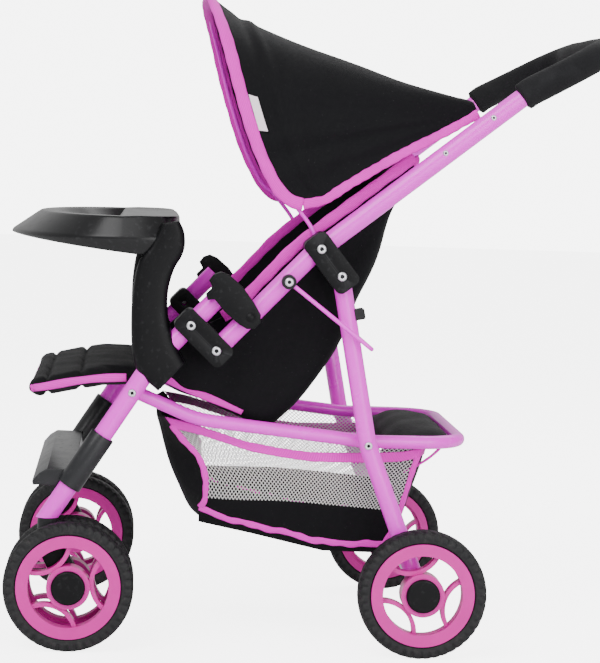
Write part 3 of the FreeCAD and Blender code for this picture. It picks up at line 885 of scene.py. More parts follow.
@dataclass
class Chassis:
    """Painted tubes, brackets, casters, footrest, latches, lock wire and grip."""
    fold_pivot: tuple[float, float] = (124.4, 268.4)
    basket_pivot: tuple[float, float] = (51.4, 228.8)
    bracket_rivet: tuple[float, float] = (214.2, 360.8)
    rear_leg_pivot: tuple[float, float] = (233.1, 337.1)
    rear_leg_bend: tuple[float, float] = (262.1, 187.0)
    wire_pivot: tuple[float, float] = (186.1, 331.3)
    frame_x: float = 147.0
    tube_radius: float = 8.5
    lower_angle: float = 46.5
    upper_angle: float = 38.5
    grip_angle: float = 28.5
    lower_run: float = 118.0
    upper_run: float = 243.0
    grip_run: float = 86.0
    foam_start: float = 233.0
    foam_radius: float = 12.5
    grip_corner: float = 62.0
    grip_bend: float = 8.0
    grip_lean: float = 33.0
    leg_angle: float = 57.5
    leg_rise: float = 31.0
    wire_rivet_x: float = 166.4
    bracket_reach: float = 12.1
    bend_rivet_reach: float = 7.9
    screw_size: float = 0.6
    screws: tuple = ((321.2, 448.5), (362.6, 481.0))

    def handle_bend(self) -> tuple[float, float]:
        """Where the handle tube's lower and upper runs meet."""
        return polar(self.fold_pivot, self.lower_angle, self.lower_run)

    def grip(self) -> None:
        """Foam sleeve: a ring carried round the handle's U, rounded at both ends."""
        bend = self.handle_bend()
        start = polar(bend, self.upper_angle, self.foam_start)
        turn = polar(bend, self.upper_angle, self.upper_run)
        corner = polar(turn, self.grip_angle, self.grip_run)
        side = [(self.frame_x, *p) for p in (start, turn, corner)]
        corners = side + [(-x, y, z) for x, y, z in reversed(side)]
        radii = [self.grip_bend, self.grip_corner, self.grip_corner, self.grip_bend]
        line = route(corners, radii, 260)
        along = lengths(line)
        from_end = np.minimum(along, along[-1] - along)
        round_off = np.sqrt(np.clip(1 - (1 - np.clip(from_end / 3.0, 0, 1)) ** 2, 0, 1))
        swell = 0.25 * np.sin(along / 31.0) + 0.2 * np.sin(along / 13.7 + 1.0)
        inner = self.tube_radius + 0.3
        radius = inner + (self.foam_radius - inner + swell) * round_off
        lean = math.radians(self.grip_lean)
        normal = np.array([0.0, -math.sin(lean), math.cos(lean)])
        grid = ribbon(line, radius, radius, normal, 2.0, 40)
        settle(grid_object("grip_foam", [grid], closed=True), Look.FOAM,
               "handle_frame", ["grip"])

    def tubes(self) -> None:
        """Paints the tubes, axles and wires of the frame."""
        for side in SIDES:
            dress("front_leg_" + side, Look.PAINT)
            dress("rear_leg_" + side, Look.PAINT)
            dress("front_axle_" + side, Look.STEEL)
        for node in ("handle_tube", "basket_tube", "lock_wire"):
            dress(node, Look.PAINT)
        dress("rear_axle", Look.STEEL)

    def mouldings(self) -> None:
        """Black mouldings, with their edges rounded."""
        parts = [("footrest", "footrest_moulding", "front_frame", Look.FOOT, 1.2)]
        for side in SIDES:
            parts += [
                ("lower_bracket_" + side, "fold_bracket_" + side, "front_frame", Look.BLACK, 1.2),
                ("upper_bracket_" + side, "leg_bracket_" + side, "handle_frame", Look.BLACK, 1.2),
                ("latch_" + side, "latch_claw_" + side, "latch_" + side, Look.BLACK, 1.6),
                ("caster_fork_" + side, "caster_arm_" + side, "caster_" + side, Look.BLACK, 0.8),
            ]
            dress("caster_socket_" + side, Look.BLACK)
        for node, name, body, look, radius in parts:
            settle(rounded_copy(node, name, radius), look, body, [node])
        dress("rear_leg_clips", Look.BLACK)
        dress("lock_wire_caps", Look.BLACK)

    def rivets(self) -> None:
        """Rivet heads at each joint."""
        rivets = Rivets()
        bracket_x = self.frame_x + self.bracket_reach
        tube_x = self.frame_x + self.tube_radius - 0.1
        leg_top = polar(self.basket_pivot, self.leg_angle, self.leg_rise)
        reach = np.subtract(self.fold_pivot, leg_top) @ polar((0, 0), self.lower_angle, 1.0)
        stub = polar(leg_top, self.lower_angle, float(reach))
        rivets.group("front_rivet_heads", "front_frame",
                     [(bracket_x, stub, 1.0), (bracket_x, self.fold_pivot, 1.0),
                      (tube_x, self.basket_pivot, 0.85)], "front_frame_rivets")
        rivets.group("handle_rivet_heads", "handle_frame",
                     [(bracket_x, self.bracket_rivet, 1.0), (bracket_x, self.rear_leg_pivot, 1.0),
                      (self.wire_rivet_x, self.wire_pivot, 0.95)], "handle_frame_rivets")
        rivets.group("rear_rivet_heads", "rear_frame",
                     [(self.frame_x + self.bend_rivet_reach, self.rear_leg_bend, 0.85)],
                     "rear_frame_rivets")
        screw_x = self.frame_x + self.tube_radius - 0.4
        rivets.group("handle_screw_heads", "handle_frame",
                     [(screw_x, spot, self.screw_size) for spot in self.screws], "")
        dress("latch_pins", Look.BLACK)

    def build(self) -> None:
        """Makes and dresses the chassis."""
        self.tubes()
        self.mouldings()
        self.rivets()
        self.grip()


@dataclass
class Tray:
    """Snack tray: a shell with a sunk floor, a cup well, raised rear shoulders, two arms."""
    half: float = 157.0
    front: float = -65.0
    rear: float = 92.0
    top: float = 384.0
    waist: float = 40.0
    well_x: float = 78.0
    well_y: float = 10.0
    well_radius: float = 30.0
    well_depth: float = 7.0
    edge_turn: float = 3.2
    shoulder: float = 0.8
    arm_x: float = 147.0
    arm_front: tuple = ((74, 379), (64, 360), (54, 344), (49.4, 318), (48.8, 288), (51, 262),
                        (57, 246), (74, 231))
    arm_rear: tuple = ((89, 381), (93.2, 372), (94.2, 360), (91.5, 350), (85.5, 339), (81, 322),
                       (80.5, 304), (84, 286), (90, 270), (97, 257))
    # side inset, front inset, rear inset and height below the top, from the
    # floor's middle out over the rim and down to the inside of the skirt
    profile: tuple = ((60.0, 70.0, 78.0, 10.0), (36.0, 53.0, 60.0, 10.0), (28.0, 42.0, 52.0, 0.0),
                      (10.0, 27.0, 1.5, 0.0), (0.0, 0.0, 0.0, 19.0), (5.0, 3.5, 0.0, 34.0),
                      (8.0, 8.0, 2.5, 34.0), (11.0, 16.0, 5.0, 16.0))

    def rim(self, count: int) -> np.ndarray:
        """The shell's profile with every corner turned by a small quadratic arc."""
        p = np.array(self.profile)
        runs = [p[:1]]
        for before, corner, after in zip(p[:-2], p[1:-1], p[2:]):
            back, ahead = before - corner, after - corner
            start = corner + back * min(0.45, self.edge_turn / np.linalg.norm(back))
            end = corner + ahead * min(0.45, self.edge_turn / np.linalg.norm(ahead))
            runs.append(corner_arc(start, corner, end, 9))
        runs.append(p[-1:])
        return even(np.vstack(runs), count)

    def shell(self) -> np.ndarray:
        """The tray's surface.

        Each ring is a half ellipse in front and a half superellipse behind the
        waist line. Its height is the top less the profile's drop, raised at the
        rear shoulders and sunk in the cup well; the skirt's foot rises to the front.

        Returns:
            A closed grid.
        """
        ring = self.rim(120)
        middle = np.array([[self.half, self.waist - self.front, self.rear - self.waist, 10.0]])
        fill = np.linspace(0, 1, 24)[1:, None]
        ring = np.vstack([middle + (ring[0] - middle) * fill, ring[1:]])
        last = ring[-1]
        under = np.array([[self.half, self.waist - self.front, self.rear - self.waist, 14.0]])
        ring = np.vstack([ring, last + (under - last) * np.linspace(0, 1, 10)[1:, None]])
        ring = np.vstack([middle, ring])
        a = np.linspace(0, 2 * math.pi, 241)[None, :]
        c, s = np.cos(a), np.sin(a)
        rear_power = 2 / 5.0
        behind = s > 0
        x_shape = np.where(behind, np.sign(c) * np.abs(c) ** rear_power, c)
        y_shape = np.where(behind, np.abs(s) ** rear_power, s)
        wide = self.half - ring[:, 0:1]
        x = wide * x_shape
        deep = np.where(behind, self.rear - self.waist - ring[:, 2:3],
                        self.waist - self.front - ring[:, 1:2])
        y = self.waist + deep * y_shape
        z = self.top - ring[:, 3:4] + 0 * x
        row = np.arange(len(ring))[:, None] / len(ring)
        upper = row < 0.62
        shoulder = step(42, 54, y) * step(98, 108, np.abs(x)) * step(-12, -3, z - self.top)
        z = z + np.where(upper, self.shoulder * shoulder, 0)
        from_well = np.hypot(x - self.well_x, y - self.well_y)
        sunk = 1 - step(self.well_radius - 4, self.well_radius, from_well)
        z = z - np.where(row < 0.35, self.well_depth * sunk, 0)
        foot = np.interp(y, [self.front, 55.0, self.rear], [363.5, 350.5, 350.5])
        z = np.maximum(z, foot)
        return np.stack([x, y, z], 2)

    def arm(self, side: float) -> np.ndarray:
        """One arm: a rounded section between the arm's front and rear edges.

        Args:
            side: 1 or -1.

        Returns:
            A closed grid.
        """
        front, rear = curve(self.arm_front, 90), curve(self.arm_rear, 90)
        t = np.linspace(0, 1, 90)
        thick = 10.6 + 1.0 * step(0.55, 0.85, t) + 0.6 * step(0.25, 0.0, t)
        ring = oval(1.0, 1.0, 3.6, 48)
        middle, reach = (front + rear) / 2, (rear - front) / 2
        x = side * (self.arm_x + thick[:, None] * ring[None, :, 1])
        y = middle[:, 0:1] + reach[:, 0:1] * ring[None, :, 0]
        z = middle[:, 1:2] + reach[:, 1:2] * ring[None, :, 0]
        return capped(np.stack([x, y, z], 2))

    def build(self) -> None:
        """Makes the tray and its arms."""
        settle(grid_object("tray_shell", [self.shell()], closed=True), Look.TRAY,
               "front_frame", ["tray"])
        for name, side in SIDES.items():
            arm = grid_object("tray_support_" + name, [self.arm(side)], closed=True)
            settle(arm, Look.BLACK, "front_frame", ["tray_arm_" + name])


@dataclass
class LegRest:
    """Padded front flap of the seat with a bound edge."""
    half: float = 136.0
    back_half: float = 120.0
    front: float = -35.0
    rear: float = 62.0
    thickness: float = 12.0
    binding_rise: float = 0.8
    crown: float = 2.0
    tuck: float = 8.0
    voxel: float = 5.0
    cap: float = 4.0
    droop: tuple = ((-42, 226.6), (-30, 229.2), (0, 235.3), (25, 239.0), (66, 240.5))
    seams: tuple = (-24.0, 6.0)
    seam_depth: float = 0.42

    def height(self, y: np.ndarray) -> np.ndarray:
        """Height of the pad's middle: it droops towards its front edge."""
        return np.interp(y, *np.array(self.droop).T)

    def slab(self) -> np.ndarray:
        """The pad before it is stuffed: a superellipse section, from front to back."""
        tuck = self.tuck
        y = np.linspace(self.front - tuck, self.rear, 60)
        half = np.interp(y, [26, 36], [self.half, self.back_half])
        ring = oval(1.0, 1.0, 5.0, 120)
        end = np.sqrt(np.clip(1 - (1 - np.clip((y - y[0]) / 4, 0, 1)) ** 2, 0.3, 1))
        x = (half[:, None] + tuck / 2) * ring[None, :, 0]
        crown = self.crown * (1 - ring[None, :, 0] ** 2)
        depth = (self.thickness / 2 * end)[:, None] * ring[None, :, 1]
        z = self.height(y)[:, None] + crown + depth
        return capped(np.stack([x, np.broadcast_to(y[:, None], x.shape), z], 2))

    def stuff(self, pad: bpy.types.Object) -> None:
        """Swells the pad by cloth simulation, then caps how far each point has moved.

        Args:
            pad: the pad, remeshed in place.
        """
        modify(pad, "REMESH", mode="VOXEL", voxel_size=self.voxel * MM)
        bake_modifiers(pad)
        rest = read_points(pad.data)
        scene = bpy.context.scene
        bpy.context.view_layer.objects.active = pad
        cloth = modify(pad, "CLOTH")
        cloth.settings.use_pressure = True
        cloth.settings.uniform_pressure_force = 4.0
        cloth.settings.effector_weights.gravity = 0.0
        for number in range(1, 21):
            scene.frame_set(number)
        swollen = pad.evaluated_get(bpy.context.evaluated_depsgraph_get())
        shift = read_points(swollen.data) - rest
        pad.modifiers.clear()
        scene.frame_set(1)
        length = np.linalg.norm(shift, axis=1, keepdims=True)
        shift *= np.minimum(1, self.cap * MM / np.maximum(length, 1e-9))
        write_points(pad.data, rest + shift)

    def channels(self, pad: bpy.types.Object) -> None:
        """Presses sewn channels into the pad: the height falls by a bell curve at each seam.

        Args:
            pad: the stuffed pad.
        """
        co = read_points(pad.data)
        x, y = co[:, 0] / MM, co[:, 1] / MM - AXLE_Y
        crown = self.crown * (1 - np.clip(np.abs(x) / self.half, 0, 1) ** 2)
        middle = (self.height(y) + crown) * MM
        press = sum(bump(seam, 2.2, y) for seam in self.seams)
        pucker = 1 + 0.15 * np.sin(x / 3.1) * np.sin(x / 7.7 + 1)
        co[:, 2] = middle + (co[:, 2] - middle) * (1 - self.seam_depth * press * pucker)
        wave = 0.9 * np.sin(x / 17.0 + y / 29.0) + 0.6 * np.sin(x / 7.3 - y / 11.0)
        co[:, 2] += wave * MM * 0.5
        write_points(pad.data, co)

    def binding(self) -> np.ndarray:
        """Tape folded over the pad's edge, along both sides and the front."""
        left = [(self.half + 0.5, y, float(self.height(np.array(y)) + self.binding_rise))
                for y in (46, 34, 20, 0, -18, -28)]
        low = float(self.height(np.array(self.front)) + self.binding_rise)
        front = [(self.half - 4, self.front - 1.0, low), (self.half - 14, self.front - 1.6, low)]
        half = left + front
        corners = half + [(0, self.front - 1.8, low)] + [(-x, y, z) for x, y, z in reversed(half)]
        along = np.arange(300)
        wide = 2.3 + 0.15 * np.sin(along / 2.3)
        tall = 3.6 + 0.25 * np.sin(along / 5.1)
        return ribbon(curve(corners, 300), wide, tall, np.array([0.0, 0.0, 1.0]))

    def build(self) -> None:
        """Makes the pad and its binding."""
        pad = grid_object("leg_rest_pad", [self.slab()], closed=True)
        self.stuff(pad)
        modify(pad, "SUBSURF", levels=1, render_levels=1)
        bake_modifiers(pad)
        self.channels(pad)
        if not pad.data.uv_layers:
            pad.data.uv_layers.new(name="cloth")
        corners = np.zeros(len(pad.data.loops), np.int32)
        pad.data.loops.foreach_get("vertex_index", corners)
        layer = pad.data.uv_layers[0]
        layer.name = "cloth"
        layer.data.foreach_set("uv", read_points(pad.data)[corners][:, :2].ravel())
        for face in pad.data.polygons:
            face.use_smooth = True
        settle(pad, Look.CLOTH, "front_frame", ["leg_rest"])
        tape = grid_object("leg_rest_binding", [self.binding()], closed=True)
        settle(tape, Look.TAPE, "front_frame")


@dataclass
class Seat:
    """Hammock seat: one sheet from the leg rest down to the fold and up the back."""
    edge_x: float = 126.0
    edge: tuple = ((66, 247), (80, 262), (100, 281), (134.9, 299.8), (165, 331), (195.5, 363.0),
                   (245, 403), (297, 444.0))
    belly: tuple = ((66, 243), (101, 225.5), (147.5, 207), (163, 197.5), (174, 196), (190, 209),
                    (209, 230.5), (231, 263), (243, 290), (251, 316), (270, 362), (290, 415),
                    (300, 438))
    belly_x: tuple = ((0.0, 121.0), (0.2, 116.0), (0.38, 111.0), (0.55, 116.0), (0.8, 121.0),
                      (1.0, 124.5))
    blend_start: tuple[float, float, float] = (0.0, 100.0, 225.0)
    blend_end: tuple[float, float, float] = (0.0, 175.0, 290.0)
    rows: int = 150
    cols: int = 150
    corner: float = 16.0
    sag: float = 2.0
    seam_rise: float = 5.0
    seam_span: tuple[float, float] = (76.0, 151.0)

    def sheet(self) -> np.ndarray:
        """The hammock's surface.

        Each row is a U: straight down from the top edge, round a quadratic
        corner, and across; the belly sags, and soft folds run along the sides.

        Returns:
            An open grid, rows from front to back, columns from left to right.
        """
        edge, belly = curve(self.edge, self.rows), curve(self.belly, self.rows)
        t = np.linspace(0, 1, self.rows)
        low_x = np.interp(t, *np.array(self.belly_x).T)
        rows = []
        for e, b, x in zip(edge, belly, low_x):
            top, low = np.array([self.edge_x, *e]), np.array([x, *b])
            inner = np.array([0.0, *b])
            down = unit(top - low)
            reach = min(self.corner, 0.45 * float(np.linalg.norm(top - low)) + 0.5)
            bend = corner_arc(low + down * reach, low, low + unit(inner - low) * self.corner, 12)
            half = even(np.vstack([top[None], bend, inner[None]]), self.cols // 2)
            rows.append(np.vstack([half, half[::-1][1:] * MIRROR]))
        return self.slacken(np.array(rows), t)

    def slacken(self, grid: np.ndarray, t: np.ndarray) -> np.ndarray:
        """Adds sag and folds: waves whose size fades towards the hems.

        Args:
            grid: the taut sheet.
            t: each row's place from 0 to 1.

        Returns:
            The slack sheet.
        """
        across = np.linspace(-1, 1, grid.shape[1])[None, :]
        t = t[:, None]
        middle = np.cos(across * math.pi / 2) ** 2
        sag = self.sag * np.sin(math.pi * t) * middle
        side = bump(0.72, 0.16, np.abs(across))
        folds = 2.1 * np.sin(13 * t + 5 * across**2) + 1.3 * np.sin(27 * t - 9 * across**2 + 1)
        cross = 0.5 * np.sin(31 * t + 2 * across) * middle
        push = facing(grid)
        fade = step(0.0, 0.06, t) * step(1.0, 0.94, t)
        amount = (folds * side + cross) * fade
        moved = grid + push * amount[..., None] * np.where(np.abs(across) < 0.995, 1, 0)[..., None]
        moved[..., 2] -= sag * fade * np.where(t < 0.5, 0.5, 0.0)
        moved[..., 1] += sag * fade * np.where(t >= 0.5, 0.5, 0.0)
        return moved

    def hem(self, line: np.ndarray, wide: float, thick: float, normal: np.ndarray) -> np.ndarray:
        """Tape folded over an edge: a flat oval carried along it, faintly puckered."""
        along = np.arange(len(line))
        pulse = 1 + 0.05 * np.sin(along / 1.9) + 0.04 * np.sin(along / 5.3)
        return ribbon(line, thick * pulse, wide * pulse, normal, 2.8, 18)

    def build(self) -> None:
        """Makes the hammock and its bindings."""
        grid = self.sheet()
        cover = thick_sheet("seat_hammock", grid, 1.5)
        settle(cover, Look.CLOTH, "", ["seat_back", "seat_pan"])
        pieces = [cover]
        edge = curve(self.edge, self.rows)
        up = np.array([0.0, -0.66, 0.75])
        strips = []
        for side in SIDES.values():
            line = np.column_stack([np.full(len(edge), side * (self.edge_x + 0.3)), edge])[40:]
            strips.append(self.hem(line, 5.2, 2.0, up))
        pieces.append(settle(grid_object("seat_side_bindings", strips, closed=True),
                             Look.TAPE, ""))
        belly, t = curve(self.belly, self.rows), np.linspace(0, 1, self.rows)
        low_x = np.interp(t, *np.array(self.belly_x).T)
        first, last = self.seam_span
        rows = (belly[:, 0] > first) & (belly[:, 0] < last) & (t < 0.5)
        seams = []
        for side in SIDES.values():
            line = np.column_stack([side * (low_x + 1.2), belly])[rows]
            line[:, 2] += self.seam_rise
            taper = np.linspace(4.4, 3.0, len(line))
            seams.append(ribbon(line, 1.6, taper, np.array([0.0, 0.3, 1.0]), 2.8, 18))
        pieces.append(settle(grid_object("seat_lower_bindings", seams, closed=True),
                             Look.TAPE, ""))
        top = self.hem(grid[-1], 4.0, 2.0, np.array([0.0, 0.5, 1.0]))
        pieces.append(settle(grid_object("seat_top_binding", [top], closed=True),
                             Look.TAPE, ""))
        for piece in pieces:
            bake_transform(piece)


@dataclass
class Canopy:
    """Hood: one curved sheet from the front bow to the strap between the handle's sides."""
    half: float = 134.0
    front_edge: tuple = ((198, 399.0), (187, 402.0), (174, 414.5), (157.5, 446), (140.5, 494.1),
                         (126.3, 543.4), (116.0, 574.0), (113.0, 583.0))
    lower_edge: tuple = ((198, 399.0), (217.5, 404.0), (239.2, 418.5), (282.9, 445.5),
                         (317.9, 464.4), (352.0, 484.5))
    wire_foot: tuple = ((129.6, 213.0, 363.5), (129.8, 205.5, 380.0))
    wire_radius: float = 1.9
    ray_foot: tuple[float, float] = (205.0, 398.0)
    blend_end: tuple[float, float, float] = (0.0, 170.0, 470.0)
    rear_low: tuple[float, float] = (352.0, 484.5)
    rear_top: tuple[float, float] = (347.0, 494.5)
    corner: float = 88.0
    rear_corner: float = 6.0
    rows: int = 170
    cols: int = 110
    sag: float = 9.0

    def arch(self, height: float, corner: float, count: Sequence[int]) -> np.ndarray:
        """Flat arch (x, h): up the left side, round a quarter circle, across, and down."""
        x, h = self.half - corner, height - corner
        up = np.column_stack([np.full(count[0], self.half), np.linspace(0, h, count[0])])
        a = np.linspace(0, math.pi / 2, count[1])
        turn = np.column_stack([x + corner * np.cos(a), h + corner * np.sin(a)])
        over = np.column_stack([np.linspace(x, 0, count[2]), np.full(count[2], height)])
        half = np.vstack([up[:-1], turn[:-1], over])
        return np.vstack([half, half[::-1][1:] * np.array([-1.0, 1.0])])

    def sheet(self) -> np.ndarray:
        """The hood's surface.

        A Coons patch between the front arch, the low rear arch and the two lower
        edges. The middle sags by a sine, and folds are bell curves: one beside
        the hem, the others fanning out from the rear corners and the front ones.

        Returns:
            An open grid; rows go over the arch, columns from front to rear.
        """
        count = (28, 34, 26)
        side = even(curve(self.front_edge, 200), 400)
        length = lengths(side)
        flat = self.arch(length[-1], self.corner, count)
        front = np.column_stack([flat[:, 0], np.interp(flat[:, 1], length, side[:, 0]),
                                 np.interp(flat[:, 1], length, side[:, 1])])
        low, top = np.array(self.rear_low), np.array(self.rear_top)
        rise = float(np.linalg.norm(top - low))
        flat = self.arch(rise, self.rear_corner, count)
        share = flat[:, 1:2] / rise
        rear = np.column_stack([flat[:, 0], low + (top - low) * share])
        lower = curve(self.lower_edge, self.cols)
        left = np.column_stack([np.full(self.cols, self.half), lower])
        return self.crease(coons(left, left * MIRROR, front, rear))

    def crease(self, grid: np.ndarray) -> np.ndarray:
        """Sags and folds the taut hood."""
        s = np.linspace(0, 1, grid.shape[0])[:, None]
        t = np.linspace(0, 1, grid.shape[1])[None, :]
        out = facing(grid)
        out *= np.sign(out[grid.shape[0] // 2, 5, 2])
        over = np.sin(math.pi * s) ** 1.5
        belly = np.sin(math.pi * t) ** 0.9
        near = 1 - over
        y, z = grid[..., 1], grid[..., 2]
        from_rear = np.hypot(y - self.rear_low[0], z - self.rear_low[1])
        angle = np.degrees(np.arctan2(z - self.rear_low[1], y - self.rear_low[0])) % 360
        fan = (2.2 * bump(189, 2.4, angle) - 1.8 * bump(193.5, 2.6, angle)
               + 2.0 * bump(199, 2.6, angle) - 1.0 * bump(180, 3.0, angle)
               + 1.2 * bump(171, 3.4, angle))
        fan = fan * step(20, 120, from_rear)
        foot_y, foot_z = self.ray_foot
        foot = np.hypot(y - foot_y, z - foot_z)
        bearing = np.degrees(np.arctan2(z - foot_z, y - foot_y))
        rays = (1.6 * bump(100, 4.0, bearing) - 1.4 * bump(88, 5.0, bearing)
                + 1.3 * bump(70, 5.0, bearing) - 1.0 * bump(56, 5.0, bearing))
        rays = rays * step(12, 60, foot) * step(190, 110, foot)
        beside = 1.5 * bump(0.15, 0.02, t) - 1.2 * bump(0.11, 0.02, t)
        slack = 0.7 * np.sin(9 * s + 7 * t) * over + 0.5 * np.sin(21 * s - 13 * t + 1) * over
        fade = step(0.0, 0.05, t) * step(1.0, 0.93, t) * step(0.0, 0.03, s) * step(1.0, 0.97, s)
        sag = (self.sag * over + 2.5 * near) * belly
        amount = (fan + rays) * near + beside + slack - sag
        return grid + out * (amount * fade)[..., None]

    def front_hem(self, grid: np.ndarray) -> np.ndarray:
        """Sleeve round the bow: a flat oval whose width lies along the hood."""
        line = even(grid[:, 0], 320)
        back = even(grid[:, 3], 320) - line
        tangent = unit(np.gradient(line, axis=0))
        normal = unit(np.cross(tangent, unit(back)))
        normal *= np.sign(normal[160, 2])
        along = np.arange(320)
        wide = 5.6 * (1 + 0.035 * np.sin(along / 1.7) + 0.03 * np.sin(along / 6.1))
        thick = 2.7 * (1 + 0.05 * np.sin(along / 2.9))
        return ribbon(line, wide, thick, normal, 2.4, 26)

    def bow(self, grid: np.ndarray) -> None:
        """Painted wire: from the rivet up into the hem, over its arch, and down again."""
        foot = np.array(self.wire_foot)
        arch = even(grid[:, 0], 60)[1:-1] * np.array([0.975, 1.0, 1.0])
        line = curve(np.vstack([foot, arch, foot[::-1] * MIRROR]), 420)
        size, up = self.wire_radius, np.array([0.0, 0.92, 0.38])
        wire = grid_object("canopy_wire", [ribbon(line, size, size, up, 2.0, 12)], closed=True)
        settle(wire, Look.PAINT, "canopy", ["canopy_bow"])

    def lower_hems(self, grid: np.ndarray) -> list[np.ndarray]:
        """Binding along both lower edges."""
        hems = []
        for row, inner in ((0, 4), (-1, -5)):
            line = even(grid[row], 200)
            up = even(grid[inner], 200) - line
            along = np.arange(200)
            wide = 4.4 * (1 + 0.05 * np.sin(along / 1.8) + 0.04 * np.sin(along / 5.0))
            hems.append(ribbon(line, 1.7, wide, unit(up)))
        return hems

    def label(self, grid: np.ndarray) -> np.ndarray:
        """Blank label: a patch of the hood, lifted off it, behind the hem on the left."""
        rows = np.linspace(0.110, 0.155, 24)[:, None] + np.zeros((1, 10))
        cols = np.linspace(0.028, 0.064, 10)[None, :] + np.zeros((24, 1))
        patch = pick(grid, rows, cols)
        out = facing(patch)
        out *= np.sign(out[12, 5, 0])
        curl = np.linspace(0, 1, 10)[None, :, None] ** 2
        return patch + out * (1.6 + 1.2 * curl)

    def build(self) -> None:
        """Makes the hood, its hems and its label."""
        grid = self.sheet()
        cover = thick_sheet("canopy_sheet", grid, 1.3)
        pieces = [settle(cover, Look.CLOTH, "", ["canopy_cover"])]
        self.bow(grid)
        hem = grid_object("canopy_front_hem", [self.front_hem(grid)], closed=True)
        pieces.append(settle(hem, Look.TAPE, ""))
        lower = grid_object("canopy_lower_hems", self.lower_hems(grid), closed=True)
        pieces.append(settle(lower, Look.TAPE, ""))
        label = thick_sheet("blank_label", self.label(grid), 0.6)
        pieces.append(settle(label, Look.LABEL, ""))
        for piece in pieces:
            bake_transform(piece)


@dataclass
class Basket:
    """Toy basket: one sagging shell with net sides, taped edges and a rear flap."""
    side_x: float = 113.0
    tube_line: tuple = ((82, 204), (110, 199), (163, 193), (215, 187.5), (265, 184), (316, 184))
    band_line: tuple = ((120, 131), (143, 130), (192, 130), (232, 127.5), (265, 125), (297, 122))
    bottom_line: tuple = ((115, 122), (143, 111.5), (192, 101), (232, 92.5), (284, 91.5))
    front_seam: tuple = ((82, 204), (98, 184), (113, 168), (119.5, 150), (120, 131))
    front_foot: tuple = ((120, 131), (118.5, 126), (115, 122))
    rear_seam: tuple = ((316, 184), (309, 166), (302, 140), (297, 122))
    rear_foot: tuple = ((297, 122), (291, 106), (284, 91.5))
    base_line: tuple = ((95, 113), (121.5, 107.4), (163, 99.1), (228, 84.7), (277, 83.9),
                        (320, 84))
    front_face: tuple = ((75, 202), (78, 193), (87.7, 161.6), (98, 138), (107.4, 119.1),
                         (119, 108))
    rear_face: tuple = ((322, 186), (317, 165), (308, 138), (300, 112), (292, 90))
    hem_line: tuple = ((82, 200), (104, 196), (159, 178.5), (208, 171), (258, 171), (300, 173),
                       (322, 182))
    hem_half: float = 0.048
    flap_half: float = 103.0
    flap_line: tuple = ((336, 176), (343, 182), (342, 189), (335, 194), (322, 196), (303, 195),
                        (292, 190), (286, 184), (286, 176))
    tail_x: float = 106.0
    tail_line: tuple = ((338, 188), (330, 178), (318, 168), (300, 158))
    anchor: tuple[float, float, float] = (0.0, 200.0, 190.0)
    band: float = 0.62
    rows: int = 61
    cols: int = 101
    floor_drop: float = 3.0
    floor_low: float = 78.0
    pitch: float = 2.5
    yarn: float = 0.36

    def side(self) -> np.ndarray:
        """Left side of the bag: a Coons patch that bulges by a product of sines."""
        above = round(self.band * (self.rows - 1)) + 1
        below = self.rows - above + 1
        band = curve(self.band_line, self.cols)
        upper = coons(curve(self.tube_line, self.cols), band, curve(self.front_seam, above),
                      curve(self.rear_seam, above))
        lower = coons(band, curve(self.bottom_line, self.cols), curve(self.front_foot, below),
                      curve(self.rear_foot, below))
        flat = np.concatenate([upper, lower[1:]])
        v = np.linspace(0, 1, self.rows)[:, None]
        a = np.linspace(0, 1, self.cols)[None, :]
        x = self.side_x + 6.0 * step(0.16, 0.0, v) * step(0, 0.1, a) * step(1, 0.9, a)
        x = x + 4.0 * np.sin(math.pi * a) * np.sin(math.pi * v) - 5.0 * v**2
        low = step(0.6, 0.72, v) * step(1.0, 0.9, v)
        x = x + low * (0.5 * np.sin(23 * a) + 0.35 * np.sin(51 * a + 2))
        wavy = step(0.72, 1.0, v) * step(0, 0.08, a) * step(1, 0.92, a)
        z = flat[..., 1] + wavy * (0.5 * np.sin(29 * a) + 0.3 * np.sin(57 * a + 1))
        return np.stack([x + 0 * z, flat[..., 0], z], 2)

    def panel(self, side: np.ndarray, face: Sequence, column: int) -> np.ndarray:
        """Front or rear panel: from the left seam, out to its face, to the right seam.

        The share of the way to the face rises with the distance from the seam.

        Args:
            side: the left side's grid.
            face: the face's outline (y, z) from top to bottom.
            column: the side's column at the seam, 0 or -1.

        Returns:
            A grid of rows by 61 columns, from the left to the right.
        """
        seam = side[:, column]
        middle = curve(face, self.rows)
        across = np.linspace(1, -1, 61)[None, :]
        share = step(0.0, 0.24, 1 - np.abs(across)) ** 0.8
        x = seam[:, 0:1] * across
        sag = 1.6 * np.sin(math.pi * np.linspace(0, 1, self.rows))[:, None] * np.cos(across * 9)
        y = seam[:, 1:2] + (middle[:, 0:1] - seam[:, 1:2]) * share
        y = y + sag * share * (1 if column else -1) * 0.6
        z = seam[:, 2:3] + (middle[:, 1:2] - seam[:, 2:3]) * share
        return np.stack([x, y, z], 2)

